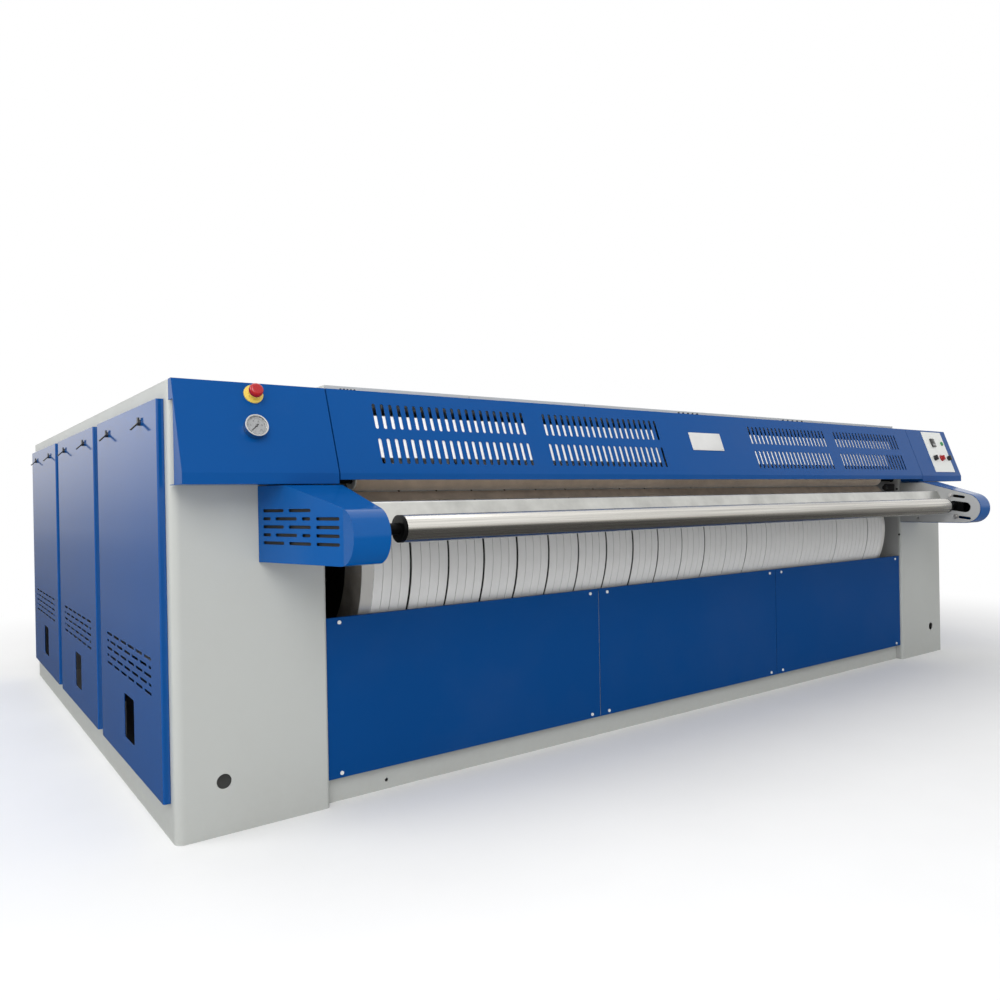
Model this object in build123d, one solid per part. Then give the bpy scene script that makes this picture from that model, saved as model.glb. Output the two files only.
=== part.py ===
from build123d import *
import math
import os

# Flatwork ironer with three heated cylinders, in millimetres.
# X runs along the cylinders, Y from the feeding side to the rear and Z up from the floor.
# While modelling, Y = 0 is the front plane of the two end cabinets.
# Each part is moved by -MIDDLE_Y when it is written, so the origin is under the middle of the machine.

# ---- driving dimensions ----
LENGTH = 4330.0
CABINET_DEPTH = 2870.0
HEIGHT = 1280.0
END_WIDTH = 452.0
SHEET = 3.0
THIN_SHEET = 2.0
GAP = 0.5
REAR_REACH = 3005.0
BRACKET_NOSE = (-340.0, 843.0)
BRACKET_NOSE_RADIUS = 78.0
MIDDLE_Y = (BRACKET_NOSE[0] - BRACKET_NOSE_RADIUS + REAR_REACH) / 2

CYLINDER_COUNT = 3
CYLINDER_RADIUS = 400.0
CYLINDER_WALL = 12.0
CYLINDER_LEFT = -1589.0
CYLINDER_RIGHT = 1556.0
CYLINDER_PITCH = 950.0
FIRST_CYLINDER_Y = 406.0
CYLINDER_Z = 740.0
JOURNAL_RADIUS = 50.0
LEFT_JOURNAL_END = -1960.0
RIGHT_JOURNAL_END = 1810.0
STEAM_BORE_RADIUS = 20.0

OUTER_X = LENGTH / 2
INNER_X = OUTER_X - END_WIDTH
CYLINDER_YS = [FIRST_CYLINDER_Y + CYLINDER_PITCH * i for i in range(CYLINDER_COUNT)]

# ---- belts and rollers ----
BELT_COUNT = 21
BELT_PITCH = 147.9
BELT_WIDTH = 142.0
BELT_THICKNESS = 3.0
BELT_CLEARANCE = 0.3
BELT_ROLLER_RADIUS = 60.0
BELT_ROLLER_SHAFT_RADIUS = 20.0
BELT_ROLLER_HALF_LENGTH = 1600.0
BELT_ROLLER_OFFSET_Y = 464.0
BELT_ROLLER_Z = 420.0
SHAFT_REACH = 60.0
PRESS_ROLLER_RADIUS = 40.0
PRESS_SHAFT_RADIUS = 17.0
PRESS_LEFT = -1600.0
PRESS_RIGHT = 1545.0
PRESS_ROLLER_Z = 1010.0
PRESS_CLEARANCE = 0.4
PRESS_NIP = CYLINDER_RADIUS + BELT_CLEARANCE + BELT_THICKNESS + PRESS_ROLLER_RADIUS + PRESS_CLEARANCE
PRESS_ROLLER_Y = FIRST_CYLINDER_Y - math.sqrt(PRESS_NIP**2 - (PRESS_ROLLER_Z - CYLINDER_Z) ** 2)

# ---- feeding side ----
FEED_ROLLER_RADIUS = 40.0
FEED_ROLLER_WALL = 3.0
FEED_ROLLER_Y = -284.0
FEED_ROLLER_Z = 856.0
FEED_ROLLER_HALF_LENGTH = 1607.0
FEED_SHAFT_RADIUS = 17.0
TABLE_Z = 935.0
TABLE_FRONT_Y = -200.0
TABLE_REAR_Y = 42.0
BRACKET_TOP_SLOPE = 16.0
BRACKET_PLATE = 4.0
BRACKET_PLATE_INSET = 3.0

# ---- hood ----
HOOD_TOP_Y = -29.0
HOOD_FOLD_Y = -123.0
HOOD_FOLD_Z = 1020.0
HOOD_LIP_Z = 1001.0
HOOD_LIP_RETURN = 18.0
HOOD_END_LIP_Z = 989.0
HOOD_BACK_Y = 30.0
HOOD_SEAM = 4.0
HOOD_HALF_LENGTH = 1717.0

# ---- doors ----
DOOR_WIDTH = 865.0
DOOR_BOTTOM = 106.0
DOOR_TOP = 1231.0
DOOR_DEPTH = 20.0
FIRST_DOOR_Y = 482.0
DOOR_PITCH = 950.0
DOOR_MARGIN = 35.0
OPENING_TOP = 1145.0
LATCH_OFFSET_Y = 240.0
LATCH_Z = 1180.0
DOOR_YS = [FIRST_DOOR_Y + DOOR_PITCH * i for i in range(3)]

# ---- running fits ----
SHAFT_FIT = 0.05
TURN_CLEARANCE = 0.4


# ---- helpers ----
BOTTOM = (Align.CENTER, Align.CENTER, Align.MIN)


def box(x0, x1, y0, y1, z0, z1):
    """A block between two corners."""
    return Pos((x0 + x1) / 2, (y0 + y1) / 2, (z0 + z1) / 2) * Box(x1 - x0, y1 - y0, z1 - z0)


def along_x(outline, x0, x1):
    """An outline drawn in Y and Z, drawn out between x0 and x1 in either order."""
    start = Plane(origin=(min(x0, x1), 0, 0), x_dir=(0, 1, 0), z_dir=(1, 0, 0))
    return extrude(start * outline, amount=abs(x1 - x0), dir=(1, 0, 0))


def along_y(outline, y0, y1):
    """An outline drawn in X and Z, drawn out from y0 to y1."""
    start = Plane(origin=(0, y0, 0), x_dir=(1, 0, 0), z_dir=(0, -1, 0))
    return extrude(start * outline, amount=y1 - y0, dir=(0, 1, 0))


def disc(y, z, radius):
    """A round outline for along_x or along_y."""
    return Pos(y, z) * Circle(radius)


def rod(x0, x1, y, z, radius):
    """A round bar along X."""
    return along_x(disc(y, z, radius), x0, x1)


def ring(x0, x1, y, z, outer, inner):
    """A round bar along X with a bore."""
    return along_x(disc(y, z, outer) - disc(y, z, inner), x0, x1)


def outline(points):
    """A straight-sided outline through the points."""
    return Polygon(*points, align=None)


def shifted(points, distance):
    """An open path moved sideways to the left of its direction, with mitred corners."""
    normals = []
    for (a0, b0), (a1, b1) in zip(points, points[1:]):
        length = math.hypot(a1 - a0, b1 - b0)
        normals.append(((b0 - b1) / length, (a1 - a0) / length))
    result = []
    for i, (a, b) in enumerate(points):
        first = normals[max(i - 1, 0)]
        second = normals[min(i, len(normals) - 1)]
        stretch = distance / (1 + first[0] * second[0] + first[1] * second[1])
        result.append((a + (first[0] + second[0]) * stretch, b + (first[1] + second[1]) * stretch))
    return result


def folded(points, thickness):
    """The outline of a folded sheet whose outer face follows the points."""
    return outline(list(points) + shifted(points, thickness)[::-1])


def loop(centre_1, radius_1, centre_2, radius_2):
    """The outline of a belt's run round two wheels, as the area inside it."""
    (a1, b1), (a2, b2) = centre_1, centre_2
    distance = math.hypot(a2 - a1, b2 - b1)
    heading = math.atan2(b2 - b1, a2 - a1)
    lean = math.acos((radius_1 - radius_2) / distance)

    def on_wheel(a, b, radius, angle):
        return (a + radius * math.cos(angle), b + radius * math.sin(angle))

    start_1 = on_wheel(a1, b1, radius_1, heading + lean)
    back_1 = on_wheel(a1, b1, radius_1, heading + math.pi)
    end_1 = on_wheel(a1, b1, radius_1, heading - lean)
    start_2 = on_wheel(a2, b2, radius_2, heading - lean)
    far_2 = on_wheel(a2, b2, radius_2, heading)
    end_2 = on_wheel(a2, b2, radius_2, heading + lean)
    edges = ThreePointArc(start_1, back_1, end_1) + Line(end_1, start_2)
    edges += ThreePointArc(start_2, far_2, end_2) + Line(end_2, start_1)
    return make_face(edges)


def band(centre_1, radius_1, centre_2, radius_2, thickness):
    """The section of an endless band round two wheels."""
    outer = loop(centre_1, radius_1 + thickness, centre_2, radius_2 + thickness)
    return outer - loop(centre_1, radius_1, centre_2, radius_2)


def mirrored(shape):
    """The same piece for the other end of the machine."""
    return mirror(shape, about=Plane.YZ)


def save(name, *pieces):
    """Write one node: each piece stays a separate solid."""
    solids = []
    for piece in pieces:
        solids += [Pos(0, -MIDDLE_Y, 0) * solid for solid in piece.solids()]
    export_step(solids[0] if len(solids) == 1 else Compound(solids), f"parts/{name}.step")


# ---- the sloping front of the hood as a drawing plane: X along it, Y up it ----
HOOD_SLOPE = math.atan2(HOOD_TOP_Y - HOOD_FOLD_Y, HEIGHT - HOOD_FOLD_Z)
HOOD_PLANE = Plane(
    origin=(0, HOOD_TOP_Y, HEIGHT),
    x_dir=(1, 0, 0),
    z_dir=(0, -math.cos(HOOD_SLOPE), math.sin(HOOD_SLOPE)),
)


def on_hood(x, down):
    """A place on the sloping face: x along it, down from its top edge."""
    return HOOD_PLANE.location * Pos(x, -down, 0)


# ---- end cabinets ----
CORNER_RADIUS = 25.0
INNER_CORNER_RADIUS = 12.0
RETURN_DEPTH = 18.0
FRONT_POST_DEPTH = 52.0
REAR_POST_DEPTH = 58.0
POST_HOLE = (132.0, 152.0)
POST_HOLE_RADIUS = 21.0
STUD_HOLE_RADIUS = 9.0
FEED_CHAIN_SLOT = (-1812.0, -1752.0, 858.0, 968.0)
STEAM_PIPE_RADIUS = 30.0
STEAM_PIPE = (1980.0, 1110.0)
CONDENSATE_PIPE = (1880.0, 250.0)
PIPE_HOLE_RADIUS = 33.0


def cabinet_plan(inset):
    """The plan of an end cabinet at the -X end, rounded more at its outer corners."""
    width = END_WIDTH - 2 * inset
    depth = CABINET_DEPTH - 2 * inset
    plan = Pos(-OUTER_X + END_WIDTH / 2, CABINET_DEPTH / 2) * Rectangle(width, depth)
    corners = plan.vertices().sort_by(Axis.X)
    plan = fillet(corners[:2], CORNER_RADIUS - inset)
    corners = plan.vertices().sort_by(Axis.X)
    return fillet(corners[-2:], INNER_CORNER_RADIUS - inset)


def end_frame():
    """Sheet cabinet at the -X end: front post, rear post, side with three openings, floor and lid."""
    low, high = SHEET, HEIGHT - SHEET
    walls = Pos(0, 0, low) * extrude(cabinet_plan(0) - cabinet_plan(SHEET), amount=high - low)
    walls -= box(-INNER_X - INNER_CORNER_RADIUS, -INNER_X + 1, RETURN_DEPTH, CABINET_DEPTH - RETURN_DEPTH,
                 low - 1, high + 1)
    side_start, side_end = FRONT_POST_DEPTH, CABINET_DEPTH - REAR_POST_DEPTH
    front = walls & box(-OUTER_X - 1, -INNER_X + 1, -1, side_start, low, high)
    front -= along_y(disc(-OUTER_X + POST_HOLE[0], POST_HOLE[1], POST_HOLE_RADIUS), -1, SHEET + 1)
    rear = walls & box(-OUTER_X - 1, -INNER_X + 1, side_end, CABINET_DEPTH + 1, low, high)
    side = walls & box(-OUTER_X - 1, -OUTER_X + SHEET, side_start, side_end, low, high)
    for y in DOOR_YS:
        half = DOOR_WIDTH / 2 - DOOR_MARGIN
        sill = DOOR_BOTTOM + DOOR_MARGIN
        side -= box(-OUTER_X - 1, -OUTER_X + SHEET + 1, y - half, y + half, sill, OPENING_TOP)
        for step in (-1, 1):
            stud_y = y + step * LATCH_OFFSET_Y
            side -= rod(-OUTER_X - 1, -OUTER_X + SHEET + 1, stud_y, LATCH_Z, STUD_HOLE_RADIUS)
    floor = extrude(cabinet_plan(0), amount=SHEET)
    return [front, rear, side, floor, Pos(0, 0, high) * floor]


def left_end_frame():
    """The drive end: a slot lets the feed roller's chain through the post."""
    front, *others = end_frame()
    x0, x1, z0, z1 = FEED_CHAIN_SLOT
    return [front - box(x0, x1, -1, SHEET + 1, z0, z1)] + others


def right_end_frame():
    """The steam end: two holes in the rear post for the pipes."""
    front, rear, *others = [mirrored(piece) for piece in end_frame()]
    for x, z in (STEAM_PIPE, CONDENSATE_PIPE):
        rear -= along_y(disc(x, z, PIPE_HOLE_RADIUS), CABINET_DEPTH - SHEET - 1, CABINET_DEPTH + 1)
    return [front, rear] + others


# ---- bearing walls, base and covers ----
WALL = 8.0
WALL_HOLE_CLEARANCE = 3.0


def shafts():
    """Every shaft that runs in the bearing walls: Y, Z and radius."""
    found = [(y, CYLINDER_Z, JOURNAL_RADIUS) for y in CYLINDER_YS]
    found += [(y + BELT_ROLLER_OFFSET_Y, BELT_ROLLER_Z, BELT_ROLLER_SHAFT_RADIUS) for y in CYLINDER_YS]
    found.append((PRESS_ROLLER_Y, PRESS_ROLLER_Z, PRESS_SHAFT_RADIUS))
    return found


def bearing_wall():
    """The plate at the -X end that carries the bearings of every cylinder and roller."""
    y0 = RETURN_DEPTH + GAP
    y1 = CABINET_DEPTH - y0
    plate = box(-INNER_X - WALL, -INNER_X, y0, y1, SHEET + GAP, HEIGHT - SHEET - GAP)
    for y, z, radius in shafts():
        plate -= rod(-INNER_X - WALL - 1, -INNER_X + 1, y, z, radius + WALL_HOLE_CLEARANCE)
    return plate


RAIL_FRONT_Y = 37.0
RAIL_DEPTH = 40.0
RAIL_HEIGHT = 79.0
KICK_Y = 12.0
KICK_BOTTOM = 79.5
KICK_TOP = 577.0
KICK_COUNT = 3
KICK_SEAM = 3.0
KICK_RETURN = 15.0
KICK_SCREW_INSET = 45.0
KICK_SCREW_DROP = 15.0
STILE_HALF_WIDTH = 60.0
STILE_THICKNESS = 4.0
KICK_WIDTH = 2 * INNER_X / KICK_COUNT
DRAIN_HOLE = (-1500.0, 29.0, 6.0)
BEAM = 40.0
BEAM_FRONT_Y = 34.0
BEAM_REAR_Y = 2800.0
SCREW_HOLE_RADIUS = 3.2
SCREW_RADIUS = 3.0
SCREW_HEAD_RADIUS = 6.0
SCREW_HEAD_HEIGHT = 3.0
SCREW_LENGTH = 10.0


def square_tube(y, z, depth, height):
    """A square tube along X between the end cabinets, from its front lower edge."""
    x = INNER_X - GAP
    tube = box(-x, x, y, y + depth, z, z + height)
    return tube - box(-x - 1, x + 1, y + SHEET, y + depth - SHEET, z + SHEET, z + height - SHEET)


def stile_spans():
    """X of both edges of the upright strips that carry the kick panels' screws."""
    end = INNER_X - GAP
    middles = [-end + STILE_HALF_WIDTH, -KICK_WIDTH / 2, KICK_WIDTH / 2, end - STILE_HALF_WIDTH]
    return [(x - STILE_HALF_WIDTH, x + STILE_HALF_WIDTH) for x in middles]


def cross_frame():
    """Floor pan with its rails and stiles, and the two beams that carry the hood and the lids."""
    x = INNER_X - GAP
    rear_y = CABINET_DEPTH - RAIL_FRONT_Y - RAIL_DEPTH
    base = box(-x, x, RAIL_FRONT_Y + RAIL_DEPTH, rear_y, RAIL_HEIGHT / 2, RAIL_HEIGHT / 2 + SHEET)
    base += square_tube(RAIL_FRONT_Y, 0, RAIL_DEPTH, RAIL_HEIGHT)
    base += square_tube(rear_y, 0, RAIL_DEPTH, RAIL_HEIGHT)
    stile_y = KICK_Y + THIN_SHEET + GAP
    foot_y = RAIL_FRONT_Y + RAIL_DEPTH / 2
    for x0, x1 in stile_spans():
        base += box(x0, x1, stile_y, stile_y + STILE_THICKNESS, RAIL_HEIGHT, KICK_TOP - KICK_RETURN)
        base += box(x0, x1, stile_y, foot_y, RAIL_HEIGHT, RAIL_HEIGHT + STILE_THICKNESS)
    for x_screw, z_screw in kick_screw_places():
        base -= along_y(disc(x_screw, z_screw, SCREW_HOLE_RADIUS), stile_y - 1, stile_y + STILE_THICKNESS + 1)
    x_drain, z_drain, radius = DRAIN_HOLE
    base -= along_y(disc(x_drain, z_drain, radius), RAIL_FRONT_Y - 1, RAIL_FRONT_Y + SHEET + 1)
    beam_z = HEIGHT - SHEET - GAP - BEAM
    return [base, square_tube(BEAM_FRONT_Y, beam_z, BEAM, BEAM), square_tube(BEAM_REAR_Y, beam_z, BEAM, BEAM)]


def kick_screw_places():
    """X and Z of the four screws of each kick panel."""
    places = []
    for i in range(KICK_COUNT):
        middle = (i - (KICK_COUNT - 1) / 2) * KICK_WIDTH
        for side in (-1, 1):
            for z in (KICK_BOTTOM + KICK_SCREW_DROP, KICK_TOP - KICK_SCREW_DROP):
                places.append((middle + side * (KICK_WIDTH / 2 - KICK_SCREW_INSET), z))
    return places


def kick_panels():
    """Three panels across the front, below the belts, each with a folded top edge."""
    panels = []
    for i in range(KICK_COUNT):
        middle = (i - (KICK_COUNT - 1) / 2) * KICK_WIDTH
        x0 = middle - (KICK_WIDTH - KICK_SEAM) / 2
        x1 = middle + (KICK_WIDTH - KICK_SEAM) / 2
        path = [(KICK_Y + KICK_RETURN, KICK_TOP), (KICK_Y, KICK_TOP), (KICK_Y, KICK_BOTTOM)]
        panel = along_x(folded(path, THIN_SHEET), x0, x1)
        for x, z in kick_screw_places():
            if x0 < x < x1:
                panel -= along_y(disc(x, z, SCREW_HOLE_RADIUS), KICK_Y - 1, KICK_Y + THIN_SHEET + 1)
        panels.append(panel)
    return panels


def pan_head_screw(x, z):
    """One screw that comes in from the front, with a cross recess."""
    head = along_y(disc(x, z, SCREW_HEAD_RADIUS), KICK_Y - SCREW_HEAD_HEIGHT, KICK_Y)
    screw = head + along_y(disc(x, z, SCREW_RADIUS), KICK_Y - 1, KICK_Y + SCREW_LENGTH)
    for half_x, half_z in ((3.5, 0.7), (0.7, 3.5)):
        y0 = KICK_Y - SCREW_HEAD_HEIGHT - 1
        screw -= box(x - half_x, x + half_x, y0, y0 + 2.5, z - half_z, z + half_z)
    return screw


ROOF_TOP = 1300.0
ROOF_FRONT_Y = 36.0
ROOF_REAR_Y = CABINET_DEPTH - 4
ROOF_START_X = -1693.0
ROOF_COUNT = 6
ROOF_WIDTH = 544.0
ROOF_SEAM = 3.0
ROOF_VENT_Z = HEIGHT + 9
ROOF_VENTS = ((-1614.5, 12.0, 2.5), (-3.5, 30.0, 5.0), (763.0, 39.0, 5.0))


def roof_panels():
    """Six raised lids and a narrow strip over the cylinders, with three rows of five front vents."""
    seams = [ROOF_START_X + ROOF_WIDTH * i for i in range(ROOF_COUNT + 1)] + [INNER_X]
    panels = []
    for start, end in zip(seams, seams[1:]):
        x0 = start + ROOF_SEAM / 2
        x1 = end - ROOF_SEAM / 2
        panel = box(x0, x1, ROOF_FRONT_Y, ROOF_REAR_Y, HEIGHT - SHEET, ROOF_TOP)
        panel -= box(x0 + THIN_SHEET, x1 - THIN_SHEET, ROOF_FRONT_Y + THIN_SHEET, ROOF_REAR_Y - THIN_SHEET,
                     HEIGHT - SHEET - 1, ROOF_TOP - THIN_SHEET)
        for middle, pitch, radius in ROOF_VENTS:
            if x0 < middle < x1:
                for k in range(-2, 3):
                    hole = disc(middle + k * pitch, ROOF_VENT_Z, radius)
                    panel -= along_y(hole, ROOF_FRONT_Y - 1, ROOF_FRONT_Y + THIN_SHEET + 1)
        panels.append(panel)
    return panels


REAR_LOWER_TOP = 860.0
REAR_UPPER_BOTTOM = 1010.0
TRAY_HALF_LENGTH = 1640.0
TRAY_START = (CABINET_DEPTH - 150, 930.0)
TRAY_BENDS = [(CABINET_DEPTH - 10, 925.0), (REAR_REACH - 20, 885.0)]
TRAY_END = (REAR_REACH, 860.0)
TRAY_RIB_INSET = 10.0
TRAY_RIB_DEPTH = 60.0


def rear_panels():
    """Two panels that close the rear, above and below the linen outlet, folded in at its edges."""
    x = INNER_X - GAP
    y = CABINET_DEPTH
    lower = [(y, KICK_BOTTOM), (y, REAR_LOWER_TOP), (y - KICK_RETURN, REAR_LOWER_TOP)]
    upper = [(y - KICK_RETURN, REAR_UPPER_BOTTOM), (y, REAR_UPPER_BOTTOM), (y, HEIGHT - SHEET - GAP)]
    return [along_x(folded(path, THIN_SHEET), -x, x) for path in (lower, upper)]


def delivery_tray():
    """Sloping sheet that the linen slides out on at the rear, on three upright ribs."""
    path = [TRAY_START, *TRAY_BENDS, TRAY_END]
    sheet = along_x(folded(path, -SHEET), -TRAY_HALF_LENGTH, TRAY_HALF_LENGTH)
    rear, top = TRAY_BENDS[0]
    front = rear - TRAY_RIB_DEPTH
    foot = REAR_LOWER_TOP + GAP
    rib = outline([(front, foot), (rear, foot), (rear, top - SHEET / 2), (front, top)])
    for x in (-TRAY_HALF_LENGTH + TRAY_RIB_INSET, -SHEET / 2, TRAY_HALF_LENGTH - TRAY_RIB_INSET - SHEET):
        sheet += along_x(rib, x, x + SHEET)
    return sheet


# ---- hood ----
NOTCH_DEPTH = 45.0
NOTCH_TOP = 1222.0
NOTCH_RECESS = 14.0
VENT_COUNT = 21
VENT_PITCH = 29.0
VENT_LENGTH = 85.0
VENT_WIDTH = 12.0
VENT_ROWS = (85.0, 202.0)
VENT_GROUPS = (-1276.0, -594.0, 594.0, 1276.0)
HOOD_SIDE_BACK_Y = -5.0


def hood_path(back_y, lip_z, lip_end_y):
    """The outer face of the hood: its top, its sloping front and the lip folded in below."""
    front = [(HOOD_TOP_Y, HEIGHT), (HOOD_FOLD_Y, HOOD_FOLD_Z), (HOOD_FOLD_Y, lip_z)]
    return [(back_y, HEIGHT)] + front + [(lip_end_y, lip_z)]


def hood_side(x0, x1, back_y, lip_z):
    """A plate that closes the hood's section."""
    inner = shifted(hood_path(back_y, lip_z, back_y), THIN_SHEET)
    return along_x(outline([(back_y, inner[1][1])] + inner[1:4] + [(back_y, inner[3][1])]), x0, x1)


def hood_panel():
    """The middle of the hood, with four groups of vents in two rows."""
    x = HOOD_HALF_LENGTH
    path = hood_path(HOOD_BACK_Y, HOOD_LIP_Z, HOOD_FOLD_Y + HOOD_LIP_RETURN)
    panel = along_x(folded(path, THIN_SHEET), -x, x)
    slots = Sketch()
    for group in VENT_GROUPS:
        for row in VENT_ROWS:
            for k in range(VENT_COUNT):
                slot_x = group + (k - (VENT_COUNT - 1) / 2) * VENT_PITCH
                slots += Pos(slot_x, -row) * SlotOverall(VENT_LENGTH, VENT_WIDTH, rotation=90)
    panel -= HOOD_PLANE.offset(-2 * THIN_SHEET) * extrude(slots, amount=3 * THIN_SHEET)
    for x0 in (-x, x - THIN_SHEET):
        panel += hood_side(x0, x0 + THIN_SHEET, HOOD_SIDE_BACK_Y, HOOD_LIP_Z)
    for side in (-1, 1):
        x0, x1 = sorted((side * (INNER_X - 2), side * (x + 1)))
        panel -= box(x0, x1, -1, HOOD_BACK_Y + 1, HEIGHT - SHEET - 1, HEIGHT + 1)
    return panel


def hood_end():
    """The hood's end box at the -X end, with a notch at the rear of its side plate."""
    x0 = -OUTER_X
    x1 = -HOOD_HALF_LENGTH - HOOD_SEAM
    end = along_x(folded(hood_path(-GAP, HOOD_END_LIP_Z, -GAP), THIN_SHEET), x0, x1)
    end += hood_side(x1 - THIN_SHEET, x1, -GAP, HOOD_END_LIP_Z)
    end += hood_side(x0, x0 + THIN_SHEET, -GAP, HOOD_END_LIP_Z)
    notch_bottom = HOOD_END_LIP_Z + THIN_SHEET
    end -= box(x0 - 1, x0 + THIN_SHEET, -NOTCH_DEPTH, 0, notch_bottom, NOTCH_TOP)
    x1 = x0 + NOTCH_RECESS + THIN_SHEET
    front = -NOTCH_DEPTH - THIN_SHEET
    end += box(x1 - THIN_SHEET, x1, -NOTCH_DEPTH, -GAP, notch_bottom, NOTCH_TOP)
    end += box(x0, x1, front, -NOTCH_DEPTH, notch_bottom - 1, NOTCH_TOP)
    end += box(x0, x1, front, -GAP, NOTCH_TOP, NOTCH_TOP + THIN_SHEET)
    return end


# ---- controls on the hood ends ----
STOP_PLACE = (-OUTER_X + 221, 36.0)
GAUGE_PLACE = (-OUTER_X + 211, 142.0)
PLATE_PLACE = (OUTER_X - 170, 132.0)
PLATE_WIDTH = 222.0
PLATE_HEIGHT = 245.0
BUTTON_PLACE = (PLATE_PLACE[0] + 78, 80.0)
SELECTOR_PLACES = [(PLATE_PLACE[0] + offset, 171.0) for offset in (-65, 13, 91)]
BUTTON_RADIUS = 11.0
SELECTOR_STEM_RADIUS = 5.0
STOP_STEM_RADIUS = 9.0


def stud(lift0, lift1, radius):
    """A round piece standing on a face, drawn at the origin."""
    return Pos(0, 0, lift0) * extrude(Circle(radius), amount=lift1 - lift0)


def rounded_top(shape, radius):
    """The piece with its highest edge rounded."""
    return fillet(shape.edges().sort_by(Axis.Z)[-1], radius)


def emergency_stop_base():
    """Round backing plate and collar of the stop button."""
    base = stud(0, 4, 28) + stud(4, 15, 16) - stud(-1, 16, STOP_STEM_RADIUS + SHAFT_FIT)
    return on_hood(*STOP_PLACE) * base


def emergency_stop_head():
    """Mushroom head on its stem."""
    head = rounded_top(stud(22, 38, 20), 9) + stud(0.5, 23, STOP_STEM_RADIUS)
    return on_hood(*STOP_PLACE) * head


GAUGE_RADIUS = 33.0
GAUGE_DEPTH = 22.0
DIAL_LIFT = 15.0
NEEDLE_LENGTH = 21.0
NEEDLE_REST = 225.0


def gauge_case():
    """Round case with a rim round its dial and a pin for the needle."""
    case = stud(0, GAUGE_DEPTH, GAUGE_RADIUS) - stud(DIAL_LIFT, GAUGE_DEPTH + 1, GAUGE_RADIUS - 4)
    return on_hood(*GAUGE_PLACE) * (case + stud(DIAL_LIFT, DIAL_LIFT + 3.5, 1.0))


def gauge_needle():
    """Needle on a hub that turns on the dial's pin, at rest on the lowest mark."""
    blade = Pos(NEEDLE_LENGTH / 2, 0, DIAL_LIFT + 2) * Box(NEEDLE_LENGTH, 1.6, 1.2)
    needle = blade + stud(DIAL_LIFT + 0.5, DIAL_LIFT + 3, 3.5)
    needle -= stud(DIAL_LIFT, DIAL_LIFT + 4, 1.0 + SHAFT_FIT)
    return on_hood(*GAUGE_PLACE) * Rot(0, 0, NEEDLE_REST) * needle


def control_plate():
    """Plate on the right hood end with holes for the button and the selectors."""
    x, down = PLATE_PLACE
    plate = Box(PLATE_WIDTH, PLATE_HEIGHT, THIN_SHEET, align=BOTTOM)
    plate = on_hood(x, down) * fillet(plate.edges().filter_by(Axis.Z), 4)
    plate -= on_hood(*BUTTON_PLACE) * stud(-1, 3, BUTTON_RADIUS + SHAFT_FIT)
    for place in SELECTOR_PLACES:
        plate -= on_hood(*place) * stud(-1, 3, SELECTOR_STEM_RADIUS + SHAFT_FIT)
    return plate


def left_hood_end():
    """The end box with a hole behind the stop button."""
    return hood_end() - on_hood(*STOP_PLACE) * stud(-5, 1, STOP_STEM_RADIUS + 2)


def right_hood_end():
    """The end box with holes behind the button and the selectors."""
    end = mirrored(hood_end()) - on_hood(*BUTTON_PLACE) * stud(-5, 1, BUTTON_RADIUS + 1)
    for place in SELECTOR_PLACES:
        end -= on_hood(*place) * stud(-5, 1, SELECTOR_STEM_RADIUS + 1)
    return end


STEM_DEPTH = 14.0
BUTTON_LIFT = 9.0
KNOB_RADIUS = 14.0
KNOB_LIFT = 10.0
GRIP_SIZE = (8.0, 27.0)
GRIP_LIFT = 21.0


def start_button():
    """Round push button whose barrel slides in the plate."""
    return on_hood(*BUTTON_PLACE) * rounded_top(stud(-STEM_DEPTH, BUTTON_LIFT, BUTTON_RADIUS), 2)


def selector_knob(place):
    """Selector: a round base, a raised grip bar and a stem through the plate."""
    base_lift = THIN_SHEET + TURN_CLEARANCE
    knob = stud(base_lift, KNOB_LIFT, KNOB_RADIUS) + stud(-STEM_DEPTH, base_lift + 1, SELECTOR_STEM_RADIUS)
    grip = Pos(0, 0, KNOB_LIFT - 1) * Box(*GRIP_SIZE, GRIP_LIFT - KNOB_LIFT + 1, align=BOTTOM)
    return on_hood(*place) * (knob + grip)


# ---- brackets and feeding side ----
BRACKET_ROOT_Y = -0.5
BRACKET_ROOT_X = -OUTER_X + 243
BRACKET_FOLD = (-OUTER_X + 343, -357.0)
SHAFT_SLOT_LENGTH = 111.0
SHAFT_SLOT_TILT = 8.5
SLOT_HALF_HEIGHT = 26.0
BOLT_SLOT_PLACES = ((-310.6, 904.3), (-338.2, 792.5))
BOLT_SLOT = (62.0, 14.0)
PLATE_HOLE = (-96.5, 788.8, 4.5)


def bracket_outline(inset):
    """Side view of a bracket: level bottom, round nose and a top that climbs to the hood."""
    y, z = BRACKET_NOSE
    radius = BRACKET_NOSE_RADIUS - inset
    slope = math.radians(BRACKET_TOP_SLOPE)
    top = (y - radius * math.sin(slope), z + radius * math.cos(slope))
    climb_y = HOOD_FOLD_Y - 2
    ceiling = top[1] + (climb_y - top[0]) * math.tan(slope)
    root = BRACKET_ROOT_Y + inset
    edges = ThreePointArc((y, z - radius), (y - radius, z), top) + Line(top, (climb_y, ceiling))
    edges += Line((climb_y, ceiling), (root, ceiling)) + Line((root, ceiling), (root, z - radius))
    edges += Line((root, z - radius), (y, z - radius))
    return make_face(edges)


def bracket_plan(inset):
    """Plan of the left bracket cover: its outer side slants in towards the nose."""
    fold_x, fold_y = BRACKET_FOLD
    inner = -INNER_X
    tip = BRACKET_NOSE[0] - BRACKET_NOSE_RADIUS - 5
    points = [(BRACKET_ROOT_X + inset, 1), (fold_x + inset, fold_y), (fold_x + inset, tip)]
    return extrude(outline(points + [(inner + 1, tip), (inner + 1, 1)]), amount=HEIGHT)


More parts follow.
